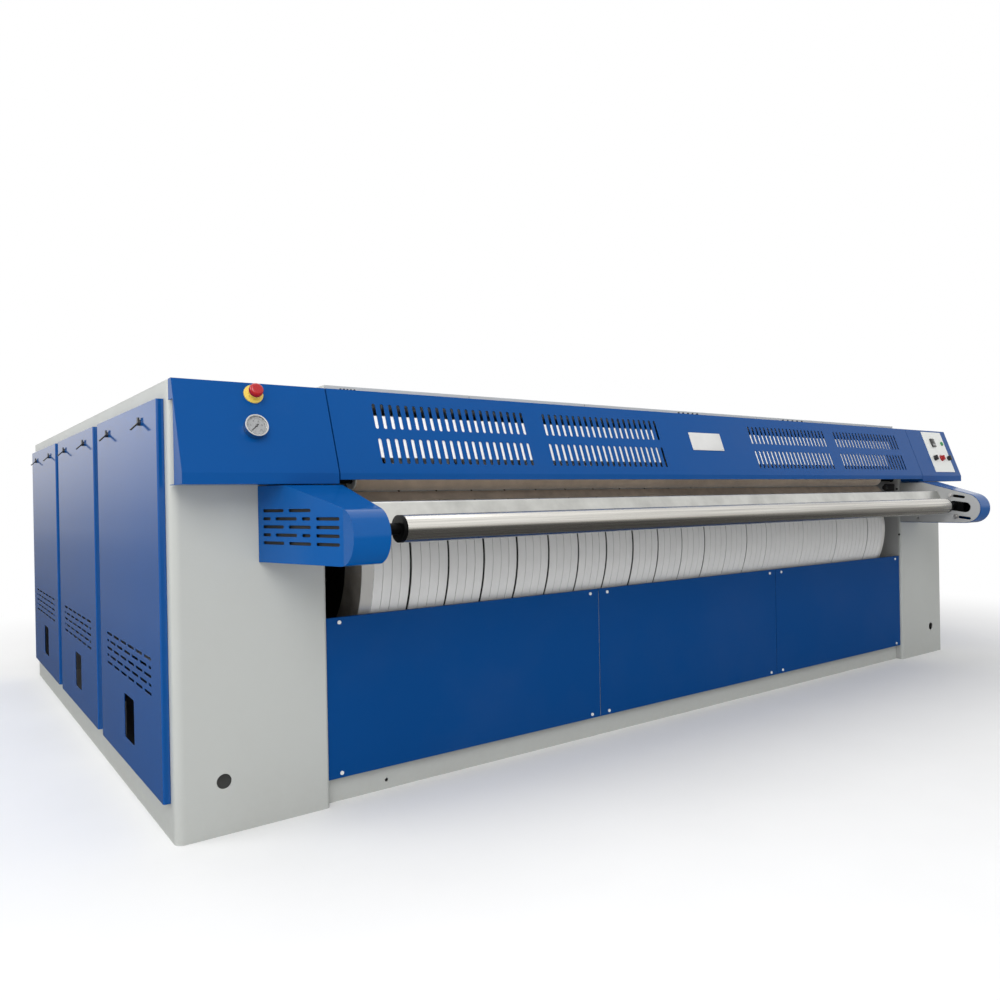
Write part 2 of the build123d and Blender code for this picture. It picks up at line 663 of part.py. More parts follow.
def shaft_slot():
    """Slot for the feed roller's shaft: it ends behind the shaft, which moves forward to tighten."""
    centre_y = FEED_ROLLER_Y - SHAFT_SLOT_LENGTH / 2 + SLOT_HALF_HEIGHT
    slot = SlotOverall(SHAFT_SLOT_LENGTH, 2 * SLOT_HALF_HEIGHT, rotation=SHAFT_SLOT_TILT)
    centre_z = FEED_ROLLER_Z - (FEED_ROLLER_Y - centre_y) * math.tan(math.radians(SHAFT_SLOT_TILT))
    return Pos(centre_y, centre_z) * slot


def bracket_plate():
    """Inner plate of the left bracket, with the shaft's slot, two slots for its bolts and a small hole."""
    x0 = -INNER_X - BRACKET_PLATE
    plate = along_x(bracket_outline(BRACKET_PLATE_INSET), x0, -INNER_X)
    plate -= box(x0 - 1, -INNER_X + 1, BRACKET_ROOT_Y, BRACKET_ROOT_Y + 10, 0, HEIGHT)
    openings = shaft_slot() + disc(*PLATE_HOLE)
    for y, z in BOLT_SLOT_PLACES:
        openings += Pos(y, z) * SlotOverall(*BOLT_SLOT, rotation=SHAFT_SLOT_TILT)
    return plate - along_x(openings, x0 - 1, -INNER_X + 1)


COVER_SLOT_ROWS = (914.0, 891.0, 868.0, 845.0, 822.0)
COVER_SLOT_START = 24.0
COVER_SLOT_PITCH = 118.0
COVER_LONG_SLOT = 96.0
COVER_SHORT_SLOT = 36.0
COVER_SLOT_HEIGHT = 9.0


def cover_slots(row):
    """Start and length of each slot in one row, measured along the slanting side."""
    last = (COVER_SLOT_START + 2 * COVER_SLOT_PITCH, COVER_LONG_SLOT)
    if row % 2:
        between = COVER_SHORT_SLOT + COVER_LONG_SLOT - COVER_SLOT_PITCH + 2 * 22
        slots = [(COVER_SLOT_START, COVER_SHORT_SLOT), (COVER_SLOT_START + between, COVER_LONG_SLOT),
                 (COVER_SLOT_START + between + COVER_SLOT_PITCH, COVER_SHORT_SLOT)]
        return slots + [last]
    slots = [(COVER_SLOT_START, COVER_LONG_SLOT), (COVER_SLOT_START + COVER_SLOT_PITCH, COVER_LONG_SLOT)]
    return slots if row == 0 else slots + [last]


def bracket_cover():
    """Sheet cover round the inner plate and the drive of the feed roller, open towards the post."""
    cover = along_x(bracket_outline(0), -OUTER_X, -INNER_X) & bracket_plan(0)
    cover -= along_x(bracket_outline(THIN_SHEET), -OUTER_X, -INNER_X + 1) & bracket_plan(THIN_SHEET)
    run_x = BRACKET_FOLD[0] - BRACKET_ROOT_X
    length = math.hypot(run_x, BRACKET_FOLD[1])
    side = Plane(
        origin=(BRACKET_ROOT_X, 0, 0),
        x_dir=(run_x / length, BRACKET_FOLD[1] / length, 0),
        z_dir=(BRACKET_FOLD[1] / length, -run_x / length, 0),
    )
    for row, z in enumerate(COVER_SLOT_ROWS):
        for start, slot_length in cover_slots(row):
            slot = Pos(start + slot_length / 2, z) * SlotOverall(slot_length, COVER_SLOT_HEIGHT)
            cover -= side.offset(-2 * THIN_SHEET) * extrude(slot, amount=4 * THIN_SHEET)
    return cover


TABLE_APRON = (-34.0, -66.0)
TABLE_ROUNDING = 12.0


def feed_table():
    """Flat sheet behind the feed roller with a rounded front edge and an apron."""
    apron_y, apron_z = TABLE_APRON
    path = [(TABLE_REAR_Y, TABLE_Z), (TABLE_FRONT_Y, TABLE_Z), (TABLE_FRONT_Y + apron_y, TABLE_Z + apron_z)]
    x = INNER_X - GAP
    table = along_x(folded(path, SHEET), -x, x)
    front = table.edges().filter_by(Axis.X).sort_by(lambda edge: abs(edge.center().Y - TABLE_FRONT_Y))[:2]
    outer, inner = sorted(front, key=lambda edge: -edge.center().Z)
    table = fillet(outer, TABLE_ROUNDING)
    place = inner.center()
    inner = [edge for edge in table.edges().filter_by(Axis.X) if (edge.center() - place).length < 0.01]
    return fillet(inner, TABLE_ROUNDING - SHEET)


END_DISC = 12.0
FEED_SHAFT_END = 1800.0
FEED_CHAIN_X = -1782.0
FEED_SPROCKET_RADIUS = 30.0
SMALL_SPROCKET_HALF = 4.0


def feed_roller():
    """Polished tube across the front."""
    x = FEED_ROLLER_HALF_LENGTH
    bore = FEED_ROLLER_RADIUS - FEED_ROLLER_WALL
    return ring(-x, x, FEED_ROLLER_Y, FEED_ROLLER_Z, FEED_ROLLER_RADIUS, bore)


def feed_roller_shaft():
    """Shaft with the roller's two end discs and the driven sprocket at the -X end."""
    y, z = FEED_ROLLER_Y, FEED_ROLLER_Z
    shaft = rod(-FEED_SHAFT_END, FEED_SHAFT_END, y, z, FEED_SHAFT_RADIUS)
    for side in (-1, 1):
        x = side * FEED_ROLLER_HALF_LENGTH
        shaft += rod(x, x + side * END_DISC, y, z, FEED_ROLLER_RADIUS - 0.5)
    half = SMALL_SPROCKET_HALF
    return shaft + rod(FEED_CHAIN_X - half, FEED_CHAIN_X + half, y, z, FEED_SPROCKET_RADIUS)


# ---- cylinders, rollers and belts ----
RIM_WIDTH = 125.0
HEAD_RECESS = 45.0
HEAD_THICKNESS = 20.0
HUB_RADIUS = 90.0
HUB_RECESS = 5.0
SPROCKET_RADIUS = 240.0
LINK_CHAIN_X = -1898.0
MOTOR_CHAIN_X = -1938.0
SPROCKET_THICKNESS = 14.0
SPROCKET_FIT = 0.02
SPROCKET_HOLES = 6
SPROCKET_HOLE_CIRCLE = 150.0
SPROCKET_HOLE_RADIUS = 45.0
BELT_ROLLER_WALL = 4.0
BELT_ROLLER_PLUG = 15.0


def cylinder(y):
    """Hollow heated cylinder with recessed heads, a hub and journals; the steam bore is at +X."""
    z = CYLINDER_Z
    inset = HEAD_RECESS + HEAD_THICKNESS
    drum = rod(CYLINDER_LEFT, CYLINDER_RIGHT, y, z, CYLINDER_RADIUS)
    drum -= rod(CYLINDER_LEFT + inset, CYLINDER_RIGHT - inset, y, z, CYLINDER_RADIUS - CYLINDER_WALL)
    ends = ((CYLINDER_LEFT, -1, LEFT_JOURNAL_END), (CYLINDER_RIGHT, 1, RIGHT_JOURNAL_END))
    for end, side, journal_end in ends:
        head = end - side * inset
        drum -= rod(end - side * HEAD_RECESS, end + side, y, z, CYLINDER_RADIUS - RIM_WIDTH)
        drum += rod(head, end - side * HUB_RECESS, y, z, HUB_RADIUS)
        drum += rod(head, journal_end, y, z, JOURNAL_RADIUS)
    return drum - rod(CYLINDER_RIGHT - inset - 1, RIGHT_JOURNAL_END + 1, y, z, STEAM_BORE_RADIUS)


def journal_sprocket(x, y):
    """Sprocket pressed on a journal, with its lightening holes."""
    half = SPROCKET_THICKNESS / 2
    wheel = ring(x - half, x + half, y, CYLINDER_Z, SPROCKET_RADIUS, JOURNAL_RADIUS + SPROCKET_FIT)
    for k in range(SPROCKET_HOLES):
        angle = 2 * math.pi * k / SPROCKET_HOLES
        hole_y = y + SPROCKET_HOLE_CIRCLE * math.cos(angle)
        hole_z = CYLINDER_Z + SPROCKET_HOLE_CIRCLE * math.sin(angle)
        wheel -= rod(x - half - 1, x + half + 1, hole_y, hole_z, SPROCKET_HOLE_RADIUS)
    return wheel


def belt_roller(y):
    """Tube that keeps one cylinder's belts tight, with shaft ends."""
    centre = (y + BELT_ROLLER_OFFSET_Y, BELT_ROLLER_Z)
    x = BELT_ROLLER_HALF_LENGTH
    roller = ring(-x, x, *centre, BELT_ROLLER_RADIUS, BELT_ROLLER_RADIUS - BELT_ROLLER_WALL)
    for side in (-1, 1):
        plug = side * (x - BELT_ROLLER_PLUG)
        roller += rod(plug, side * x, *centre, BELT_ROLLER_RADIUS - 1)
        roller += rod(plug, side * (INNER_X + SHAFT_REACH), *centre, BELT_ROLLER_SHAFT_RADIUS)
    return roller


def ironing_belts():
    """Endless belts side by side round each cylinder and its belt roller."""
    belts = []
    for y in CYLINDER_YS:
        section = band((y, CYLINDER_Z), CYLINDER_RADIUS + BELT_CLEARANCE,
                       (y + BELT_ROLLER_OFFSET_Y, BELT_ROLLER_Z), BELT_ROLLER_RADIUS + BELT_CLEARANCE,
                       BELT_THICKNESS)
        for i in range(BELT_COUNT):
            x = (i - (BELT_COUNT - 1) / 2) * BELT_PITCH
            belts.append(along_x(section, x - BELT_WIDTH / 2, x + BELT_WIDTH / 2))
    return belts


def press_roller():
    """Cloth-wrapped roller over the first nip, with its shaft."""
    roller = rod(PRESS_LEFT, PRESS_RIGHT, PRESS_ROLLER_Y, PRESS_ROLLER_Z, PRESS_ROLLER_RADIUS)
    shaft_end = INNER_X + SHAFT_REACH
    return roller + rod(-shaft_end, shaft_end, PRESS_ROLLER_Y, PRESS_ROLLER_Z, PRESS_SHAFT_RADIUS)


BEARING_LENGTH = 45.0
BEARING_FLANGE = 12.0
BEARING_FLANGE_RIM = 7.0
FEED_BEARING_LENGTH = 26.0
FEED_BEARING_RADIUS = 32.0
FEED_BEARING_FLANGE = (8.0, 46.0)


def bearing(x, y, z, radius, side):
    """Flanged bearing on the far side of a wall whose face is at x, for one end of a shaft."""
    outer = 1.3 * radius + 8
    body = rod(x, x + side * BEARING_FLANGE, y, z, outer + BEARING_FLANGE_RIM)
    body += rod(x, x + side * BEARING_LENGTH, y, z, outer)
    return body - rod(x - side, x + side * (BEARING_LENGTH + 1), y, z, radius + SHAFT_FIT)


def feed_bearing(x, side):
    """Square-flanged bearing of the feed roller, bolted over the bracket's slot."""
    y, z = FEED_ROLLER_Y, FEED_ROLLER_Z
    thickness, half = FEED_BEARING_FLANGE
    near, far = sorted((x, x + side * thickness))
    body = box(near, far, y - half, y + half, z - half, z + half)
    body += rod(x, x + side * FEED_BEARING_LENGTH, y, z, FEED_BEARING_RADIUS)
    return body - rod(x - side, x + side * (FEED_BEARING_LENGTH + 1), y, z, FEED_SHAFT_RADIUS + SHAFT_FIT)


def bearings():
    """Every bearing housing, at both ends."""
    found = []
    for side in (-1, 1):
        for y, z, radius in shafts():
            found.append(bearing(side * (INNER_X + WALL), y, z, radius, side))
        found.append(feed_bearing(side * (INNER_X + BRACKET_PLATE), side))
    return found


# ---- drive and steam ----
CHAIN_THICKNESS = 12.0
CHAIN_HALF_WIDTH = 6.0
CHAIN_CLEARANCE = 0.6
DRIVE_SPROCKET_RADIUS = 60.0
MOTOR_SHAFT_RADIUS = 15.0
MOTOR_SHAFT_DEPTH = 34.0
MOTOR_AXIS = (881.0, 250.0)
MOTOR_X = -2030.0
GEARBOX_HALF = (65.0, 80.0, 90.0)
MOTOR_SIZE = (72.0, 250.0)
FIN_RADIUS = 80.0
FIN_WIDTH = 6.0
FIN_PITCH = 24.0
FIN_START = 20.0
FIN_COUNT = 9
FEED_MOTOR_AXIS = (70.0, 925.0)
FEED_MOTOR_X = -1846.0
FEED_GEARBOX_HALF = (40.0, 50.0, 50.0)
FEED_MOTOR_SIZE = (38.0, 145.0)


def chain(x, centre_1, radius_1, centre_2, radius_2):
    """The run of one chain round two sprockets."""
    radius_1 += CHAIN_CLEARANCE
    radius_2 += CHAIN_CLEARANCE
    section = band(centre_1, radius_1, centre_2, radius_2, CHAIN_THICKNESS)
    return along_x(section, x - CHAIN_HALF_WIDTH, x + CHAIN_HALF_WIDTH)


def drive_chains():
    """Cylinder chain, motor chain and the feed roller's chain."""
    first = (CYLINDER_YS[0], CYLINDER_Z)
    middle = (CYLINDER_YS[1], CYLINDER_Z)
    last = (CYLINDER_YS[-1], CYLINDER_Z)
    link_section = band_equal(first, last, SPROCKET_RADIUS + CHAIN_CLEARANCE)
    link = along_x(link_section, LINK_CHAIN_X - CHAIN_HALF_WIDTH, LINK_CHAIN_X + CHAIN_HALF_WIDTH)
    motor = chain(MOTOR_CHAIN_X, middle, SPROCKET_RADIUS, MOTOR_AXIS, DRIVE_SPROCKET_RADIUS)
    feed_axis = (FEED_ROLLER_Y, FEED_ROLLER_Z)
    feed_section = band_equal(feed_axis, FEED_MOTOR_AXIS, FEED_SPROCKET_RADIUS + CHAIN_CLEARANCE)
    feed = along_x(feed_section, FEED_CHAIN_X - CHAIN_HALF_WIDTH, FEED_CHAIN_X + CHAIN_HALF_WIDTH)
    return [link, motor, feed]


def band_equal(centre_1, centre_2, radius):
    """The section of a chain round two wheels of one size."""
    (a1, b1), (a2, b2) = centre_1, centre_2
    length = math.hypot(a2 - a1, b2 - b1)
    tilt = math.degrees(math.atan2(b2 - b1, a2 - a1))
    outer = radius + CHAIN_THICKNESS
    ring_face = SlotOverall(length + 2 * outer, 2 * outer) - SlotOverall(length + 2 * radius, 2 * radius)
    return Pos((a1 + a2) / 2, (b1 + b2) / 2) * Rot(0, 0, tilt) * ring_face


def shaft_sprocket(x, axis, sprocket_radius, gearbox_face):
    """Small sprocket with the shaft that it turns on, whose end is inside its gearbox."""
    wheel = rod(x - SMALL_SPROCKET_HALF, x + SMALL_SPROCKET_HALF, *axis, sprocket_radius)
    inner_end = gearbox_face - MOTOR_SHAFT_DEPTH + 1
    return wheel + rod(inner_end, x + 2 * SMALL_SPROCKET_HALF, *axis, MOTOR_SHAFT_RADIUS)


def drive_sprocket():
    """Sprocket of the main gearmotor."""
    return shaft_sprocket(MOTOR_CHAIN_X, MOTOR_AXIS, DRIVE_SPROCKET_RADIUS, MOTOR_X + GEARBOX_HALF[0])


def feed_sprocket():
    """Sprocket of the feed roller's gearmotor."""
    gearbox_face = FEED_MOTOR_X + FEED_GEARBOX_HALF[0]
    return shaft_sprocket(FEED_CHAIN_X, FEED_MOTOR_AXIS, FEED_SPROCKET_RADIUS, gearbox_face)


def gearmotor(x, axis, gearbox_half, motor_size):
    """Gearbox on a foot that stands on the cabinet's floor, with its motor towards the rear."""
    y, z = axis
    half_x, half_y, half_z = gearbox_half
    radius, length = motor_size
    body = box(x - half_x, x + half_x, y - half_y, y + half_y, SHEET + GAP, z + half_z)
    body += along_y(disc(x, z, radius), y + half_y, y + half_y + length)
    return body - rod(x + half_x - MOTOR_SHAFT_DEPTH, x + half_x + 1, y, z, MOTOR_SHAFT_RADIUS + SHAFT_FIT)


def drive_motors():
    """Main gearmotor under the second cylinder's chain and the feed roller's own gearmotor."""
    main = gearmotor(MOTOR_X, MOTOR_AXIS, GEARBOX_HALF, MOTOR_SIZE)
    y, z = MOTOR_AXIS
    for i in range(FIN_COUNT):
        fin_y = y + GEARBOX_HALF[1] + FIN_START + FIN_PITCH * i
        main += along_y(disc(MOTOR_X, z, FIN_RADIUS), fin_y, fin_y + FIN_WIDTH)
    return [main, gearmotor(FEED_MOTOR_X, FEED_MOTOR_AXIS, FEED_GEARBOX_HALF, FEED_MOTOR_SIZE)]


PIPE_START_Y = FIRST_CYLINDER_Y - 60
COLLAR_START_Y = CABINET_DEPTH + 5
COLLAR_LENGTH = 12.0
COLLAR_RADIUS = 42.0
STUB_LENGTH = 50.0
ROTARY_JOINT_RADIUS = 46.0
ROTARY_JOINT_LENGTH = 110.0
BRANCH_RADIUS = 21.0
RISER_RADIUS = 24.0
RISER_DROP = 25.0


def header(x, z):
    """One pipe along the cabinet, with a collar and a stub behind the rear post."""
    collar_end = COLLAR_START_Y + COLLAR_LENGTH
    pipe = along_y(disc(x, z, STEAM_PIPE_RADIUS), PIPE_START_Y, collar_end + STUB_LENGTH)
    return pipe + along_y(disc(x, z, COLLAR_RADIUS), COLLAR_START_Y, collar_end)


def steam_pipes():
    """Steam and condensate headers with a rotary joint at each cylinder's journal."""
    x_steam, z_steam = STEAM_PIPE
    x_drain, z_drain = CONDENSATE_PIPE
    pipes = header(x_steam, z_steam)
    joint_end = RIGHT_JOURNAL_END + ROTARY_JOINT_LENGTH
    for y in CYLINDER_YS:
        pipes += rod(RIGHT_JOURNAL_END + TURN_CLEARANCE, joint_end, y, CYLINDER_Z, ROTARY_JOINT_RADIUS)
        pipes += rod(joint_end - 1, x_steam, y, CYLINDER_Z, BRANCH_RADIUS)
        riser_z = CYLINDER_Z - RISER_DROP
        pipes += Pos(x_steam, y, riser_z) * Cylinder(RISER_RADIUS, z_steam - riser_z, align=BOTTOM)
        pipes += Pos(x_drain, y, z_drain) * Cylinder(BRANCH_RADIUS, CYLINDER_Z - z_drain, align=BOTTOM)
    return pipes + header(x_drain, z_drain)


# ---- doors ----
DOOR_CLEARANCE = 0.3
DOOR_CORNER = 5.0
DOOR_SHEET = 2.0
DOOR_VENT_WIDTH = 9.0
DOOR_VENT_SPAN = 637.0
DOOR_VENT_LONG = 88.0
DOOR_VENT_COUNT = 6
DOOR_VENT_TOP = 492.0
DOOR_VENT_ROW = 25.5
DOOR_VENT_ROWS = 5
HAND_HOLE = (140.0, 143.0, 258.0, 10.0)
HAND_HOLE_SHIFT = -17.0
STUD_RADIUS = 6.0
BOSS_RADIUS = 9.0
BOSS_LENGTH = 8.0
LEVER_STUB = 15.0
LEVER_REACH = 20.0
LEVER_THICKNESS = 4.5
LEVER_WIDTH = 14.0


def door_vents(row):
    """Middle and length of each vent in one row of a door, measured from the door's middle."""
    pitch = (DOOR_VENT_SPAN - DOOR_VENT_LONG) / (DOOR_VENT_COUNT - 1)
    if row % 2 == 0:
        return [((i - (DOOR_VENT_COUNT - 1) / 2) * pitch, DOOR_VENT_LONG) for i in range(DOOR_VENT_COUNT)]
    short = (DOOR_VENT_LONG - (pitch - DOOR_VENT_LONG)) / 2
    ends = (DOOR_VENT_SPAN - short) / 2
    inner = [((i - (DOOR_VENT_COUNT - 2) / 2) * pitch, DOOR_VENT_LONG) for i in range(DOOR_VENT_COUNT - 1)]
    return [(-ends, short)] + inner + [(ends, short)]


def door(y):
    """Pan door at the -X end: vents, a square hand hole and holes for its two latches."""
    x0 = -OUTER_X - DOOR_DEPTH
    x1 = -OUTER_X - DOOR_CLEARANCE
    half = DOOR_WIDTH / 2
    pan = box(x0, x1, y - half, y + half, DOOR_BOTTOM, DOOR_TOP)
    pan = fillet(pan.edges().filter_by(Axis.Z).group_by(Axis.X)[0], DOOR_CORNER)
    pan -= box(x0 + DOOR_SHEET, x1 + 1, y - half + DOOR_SHEET, y + half - DOOR_SHEET,
               DOOR_BOTTOM + DOOR_SHEET, DOOR_TOP - DOOR_SHEET)
    cuts = Sketch()
    for row in range(DOOR_VENT_ROWS):
        for middle, length in door_vents(row):
            z = DOOR_VENT_TOP - row * DOOR_VENT_ROW
            cuts += Pos(y + middle, z) * SlotOverall(length, DOOR_VENT_WIDTH)
    width, height, z, corner = HAND_HOLE
    cuts += Pos(y + HAND_HOLE_SHIFT, z) * RectangleRounded(width, height, corner)
    for side in (-1, 1):
        cuts += Pos(y + side * LATCH_OFFSET_Y, LATCH_Z) * Circle(STUD_RADIUS + SHAFT_FIT)
    return pan - along_x(cuts, x0 - 1, x0 + DOOR_SHEET + 1)


def latch(y):
    """Quarter-turn latch: boss, stud through the door and a lever that stands out and down."""
    face = -OUTER_X - DOOR_DEPTH
    tip = face - BOSS_LENGTH
    turned = rod(tip, face - TURN_CLEARANCE, y, LATCH_Z, BOSS_RADIUS)
    turned += rod(tip, -OUTER_X + 8, y, LATCH_Z, STUD_RADIUS)
    path = [(tip, LATCH_Z + LEVER_STUB), (tip, LATCH_Z), (tip - LEVER_REACH, LATCH_Z - LEVER_REACH)]
    return turned + along_y(folded(path, LEVER_THICKNESS), y - LEVER_WIDTH / 2, y + LEVER_WIDTH / 2)


def write_parts():
    """Build every node and write it."""
    os.makedirs("parts", exist_ok=True)
    save("left_end_frame", *left_end_frame())
    save("right_end_frame", *right_end_frame())
    save("left_bearing_wall", bearing_wall())
    save("right_bearing_wall", mirrored(bearing_wall()))
    save("cross_frame", *cross_frame())
    save("kick_panels", *kick_panels())
    save("panel_screws", *[pan_head_screw(x, z) for x, z in kick_screw_places()])
    save("roof_panels", *roof_panels())
    save("rear_panels", *rear_panels())
    save("delivery_tray", delivery_tray())
    save("hood_panel", hood_panel())
    save("left_hood_end", left_hood_end())
    save("right_hood_end", right_hood_end())
    save("emergency_stop_base", emergency_stop_base())
    save("emergency_stop_head", emergency_stop_head())
    save("gauge_case", gauge_case())
    save("gauge_needle", gauge_needle())
    save("control_plate", control_plate())
    save("start_button", start_button())
    for i, place in enumerate(SELECTOR_PLACES):
        save(f"selector_{i + 1}", selector_knob(place))
    save("left_bracket_cover", bracket_cover())
    save("right_bracket_cover", mirrored(bracket_cover()))
    save("bracket_plates", bracket_plate(), mirrored(bracket_plate()))
    save("feed_table", feed_table())
    save("feed_roller", feed_roller())
    save("feed_roller_shaft", feed_roller_shaft())
    save("press_roller", press_roller())
    for i, y in enumerate(CYLINDER_YS):
        sprockets = [journal_sprocket(LINK_CHAIN_X, y)]
        if i == 1:
            sprockets.append(journal_sprocket(MOTOR_CHAIN_X, y))
        save(f"cylinder_{i + 1}", cylinder(y), *sprockets)
        save(f"belt_roller_{i + 1}", belt_roller(y))
    save("ironing_belts", *ironing_belts())
    save("bearings", *bearings())
    save("drive_chains", *drive_chains())
    save("drive_motors", *drive_motors())
    save("drive_sprocket", drive_sprocket())
    save("feed_sprocket", feed_sprocket())
    save("steam_pipes", steam_pipes())
    for i, y in enumerate(DOOR_YS):
        save(f"left_door_{i + 1}", door(y))
        save(f"right_door_{i + 1}", mirrored(door(y)))
        for end, side in (("front", -1), ("rear", 1)):
            piece = latch(y + side * LATCH_OFFSET_Y)
            save(f"left_door_{i + 1}_latch_{end}", piece)
            save(f"right_door_{i + 1}_latch_{end}", mirrored(piece))


write_parts()
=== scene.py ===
import math
import random

import bmesh
import bpy
from mathutils import Matrix, Vector


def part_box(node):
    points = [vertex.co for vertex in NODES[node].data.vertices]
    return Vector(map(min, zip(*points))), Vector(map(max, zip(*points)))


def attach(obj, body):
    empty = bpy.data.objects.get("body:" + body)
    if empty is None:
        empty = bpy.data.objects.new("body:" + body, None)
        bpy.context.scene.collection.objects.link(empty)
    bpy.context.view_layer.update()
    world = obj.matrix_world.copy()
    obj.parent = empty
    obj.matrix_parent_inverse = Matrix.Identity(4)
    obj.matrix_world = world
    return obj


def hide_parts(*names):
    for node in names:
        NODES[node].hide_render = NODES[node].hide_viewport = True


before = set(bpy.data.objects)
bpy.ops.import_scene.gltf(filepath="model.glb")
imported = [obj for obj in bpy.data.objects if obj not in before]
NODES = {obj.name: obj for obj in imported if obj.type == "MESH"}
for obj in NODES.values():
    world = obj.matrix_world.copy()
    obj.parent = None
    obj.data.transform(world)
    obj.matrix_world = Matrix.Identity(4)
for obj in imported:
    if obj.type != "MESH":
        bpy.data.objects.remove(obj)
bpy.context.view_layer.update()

bl_info = {
    "name": "Flatwork ironer",
    "version": (1, 0, 0),
    "blender": (4, 5, 0),
    "location": "3D View > Sidebar > Ironer",
    "description": "Finishes the flatwork ironer: paint, steel, cloth belts, controls and studio stage",
    "category": "Object",
}

# The hood's sloping front, in metres: how far it leans back over its drop, its top edge, and
# the directions along it.
HOOD_LEAN, HOOD_DROP = 0.094, 0.260
HOOD_TOP = Vector((0.0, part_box("hood_panel")[0].y + HOOD_LEAN, 1.280))
HOOD_ANGLE = math.atan2(HOOD_LEAN, HOOD_DROP)
HOOD_OUT = Vector((0.0, -math.cos(HOOD_ANGLE), math.sin(HOOD_ANGLE)))
HOOD_UP = Vector((0.0, math.sin(HOOD_ANGLE), math.cos(HOOD_ANGLE)))
HOOD_FACE = Matrix((
    (1.0, 0.0, 0.0, 0.0),
    (0.0, HOOD_UP.y, HOOD_OUT.y, HOOD_TOP.y),
    (0.0, HOOD_UP.z, HOOD_OUT.z, HOOD_TOP.z),
    (0.0, 0.0, 0.0, 1.0),
))


# ---- settings ----
class IronerColours(bpy.types.PropertyGroup):
    """Paint, cloth and plastic colours."""
    cabinet: bpy.props.FloatVectorProperty(
        name="Cabinet grey", description="Powder paint of the cabinets and the roof",
        subtype="COLOR", default=(0.47, 0.485, 0.465), min=0, max=1)
    blue: bpy.props.FloatVectorProperty(
        name="Panel blue", description="Gloss paint of the hood, the doors and the front panels",
        subtype="COLOR", default=(0.0015, 0.070, 0.272), min=0, max=1)
    belt: bpy.props.FloatVectorProperty(
        name="Belt cloth", description="Ironing belts",
        subtype="COLOR", default=(0.70, 0.70, 0.69), min=0, max=1)
    wrap: bpy.props.FloatVectorProperty(
        name="Roller wrap", description="Padded cloth round the press roller",
        subtype="COLOR", default=(0.66, 0.51, 0.38), min=0, max=1)
    # The guide felt's beige brown is painted shade, for the belts in shade under the press roller.
    felt_and_shade: bpy.props.FloatVectorProperty(
        name="Guide felt", description="Felt on the guide that leads the linen into the first nip",
        subtype="COLOR", default=(0.62, 0.51, 0.41), min=0, max=1)


class IronerSizes(bpy.types.PropertyGroup):
    """Sizes of the modelled pieces."""
    belts_in_group: bpy.props.IntProperty(
        name="Belts in a group", description="Narrow belts that run side by side before a wider gap",
        default=4, min=1, max=8)
    belts_start: bpy.props.FloatProperty(
        name="Belts start", description="Place along the machine of the first belt's free edge",
        subtype="DISTANCE", unit="LENGTH", default=-1.548)
    first_gap: bpy.props.FloatProperty(
        name="First wide gap", description="Place along the machine of the gap after the first group",
        subtype="DISTANCE", unit="LENGTH", default=-1.413)
    group_pitch: bpy.props.FloatProperty(
        name="Group pitch", description="Distance from one wide gap to the next",
        subtype="DISTANCE", unit="LENGTH", default=0.1469, min=0.01)
    belt_gap: bpy.props.FloatProperty(
        name="Belt gap", description="Gap between two belts of a group",
        subtype="DISTANCE", unit="LENGTH", default=0.0012, min=0)
    belt_thickness: bpy.props.FloatProperty(
        name="Belt thickness", description="Thickness of the belt cloth",
        subtype="DISTANCE", unit="LENGTH", default=0.0026, min=0.0005, max=0.003)


class IronerStage(bpy.types.PropertyGroup):
    """Camera, floor and light."""
    camera_place: bpy.props.FloatVectorProperty(
        name="Camera place", description="Where the camera stands",
        subtype="TRANSLATION", unit="LENGTH", default=(-2.7404, -3.6008, 0.9375))
    camera_yaw: bpy.props.FloatProperty(
        name="Camera yaw", description="Turn to the right of the way the machine faces",
        subtype="ANGLE", default=0.6325)
    camera_pitch: bpy.props.FloatProperty(
        name="Camera pitch", description="Tilt above level", subtype="ANGLE", default=-0.002)
    camera_roll: bpy.props.FloatProperty(
        name="Camera roll", description="Lean of the camera", subtype="ANGLE", default=-0.0181)
    camera_lens: bpy.props.FloatProperty(
        name="Lens", description="Focal length on a 36 mm sensor, in millimetres", default=29.056, min=1)
    floor_size: bpy.props.FloatProperty(
        name="Floor size", description="Side of the square floor",
        subtype="DISTANCE", unit="LENGTH", default=120.0, min=1)
    fade_start: bpy.props.FloatProperty(
        name="Fade start",
        description="Distance from the machine's middle where the floor starts to turn white",
        subtype="DISTANCE", unit="LENGTH", default=2.6, min=0)
    fade_end: bpy.props.FloatProperty(
        name="Fade end", description="Distance from the machine's middle where the floor is white",
        subtype="DISTANCE", unit="LENGTH", default=5.0, min=0)
    card_radius: bpy.props.FloatProperty(
        name="Card radius", description="Radius of the dim card that shows in reflections",
        subtype="DISTANCE", unit="LENGTH", default=50.0, min=1)
    card_height: bpy.props.FloatProperty(
        name="Card height", description="Height of the card's upturned edge",
        subtype="DISTANCE", unit="LENGTH", default=6.0, min=0.1)
    sky_level: bpy.props.FloatProperty(
        name="Sky level", description="Strength of the even light from all round", default=0.56, min=0)


def colours():
    return bpy.context.scene.ironer_colours


def sizes():
    return bpy.context.scene.ironer_sizes


def stage_settings():
    return bpy.context.scene.ironer_stage


# Width of the gap after each group of belts, in metres, from the left.
WIDE_GAPS = (0.0082, 0.0075, 0.0082, 0.0086, 0.0082, 0.0070, 0.0080, 0.0088, 0.0068, 0.0048,
             0.0066, 0.0036, 0.0052, 0.0034, 0.0014, 0.0026, 0.0028, 0.0048, 0.0014, 0.0060)


def belts_span():
    """Where the belts start and end along the machine."""
    return sizes().belts_start, sizes().first_gap + len(WIDE_GAPS) * sizes().group_pitch


# ---- node helpers ----
def join(tree, node, name, value):
    """Sets one socket, or joins another node's output to it."""
    if isinstance(value, bpy.types.NodeSocket):
        tree.links.new(value, node.inputs[name])
    else:
        node.inputs[name].default_value = value


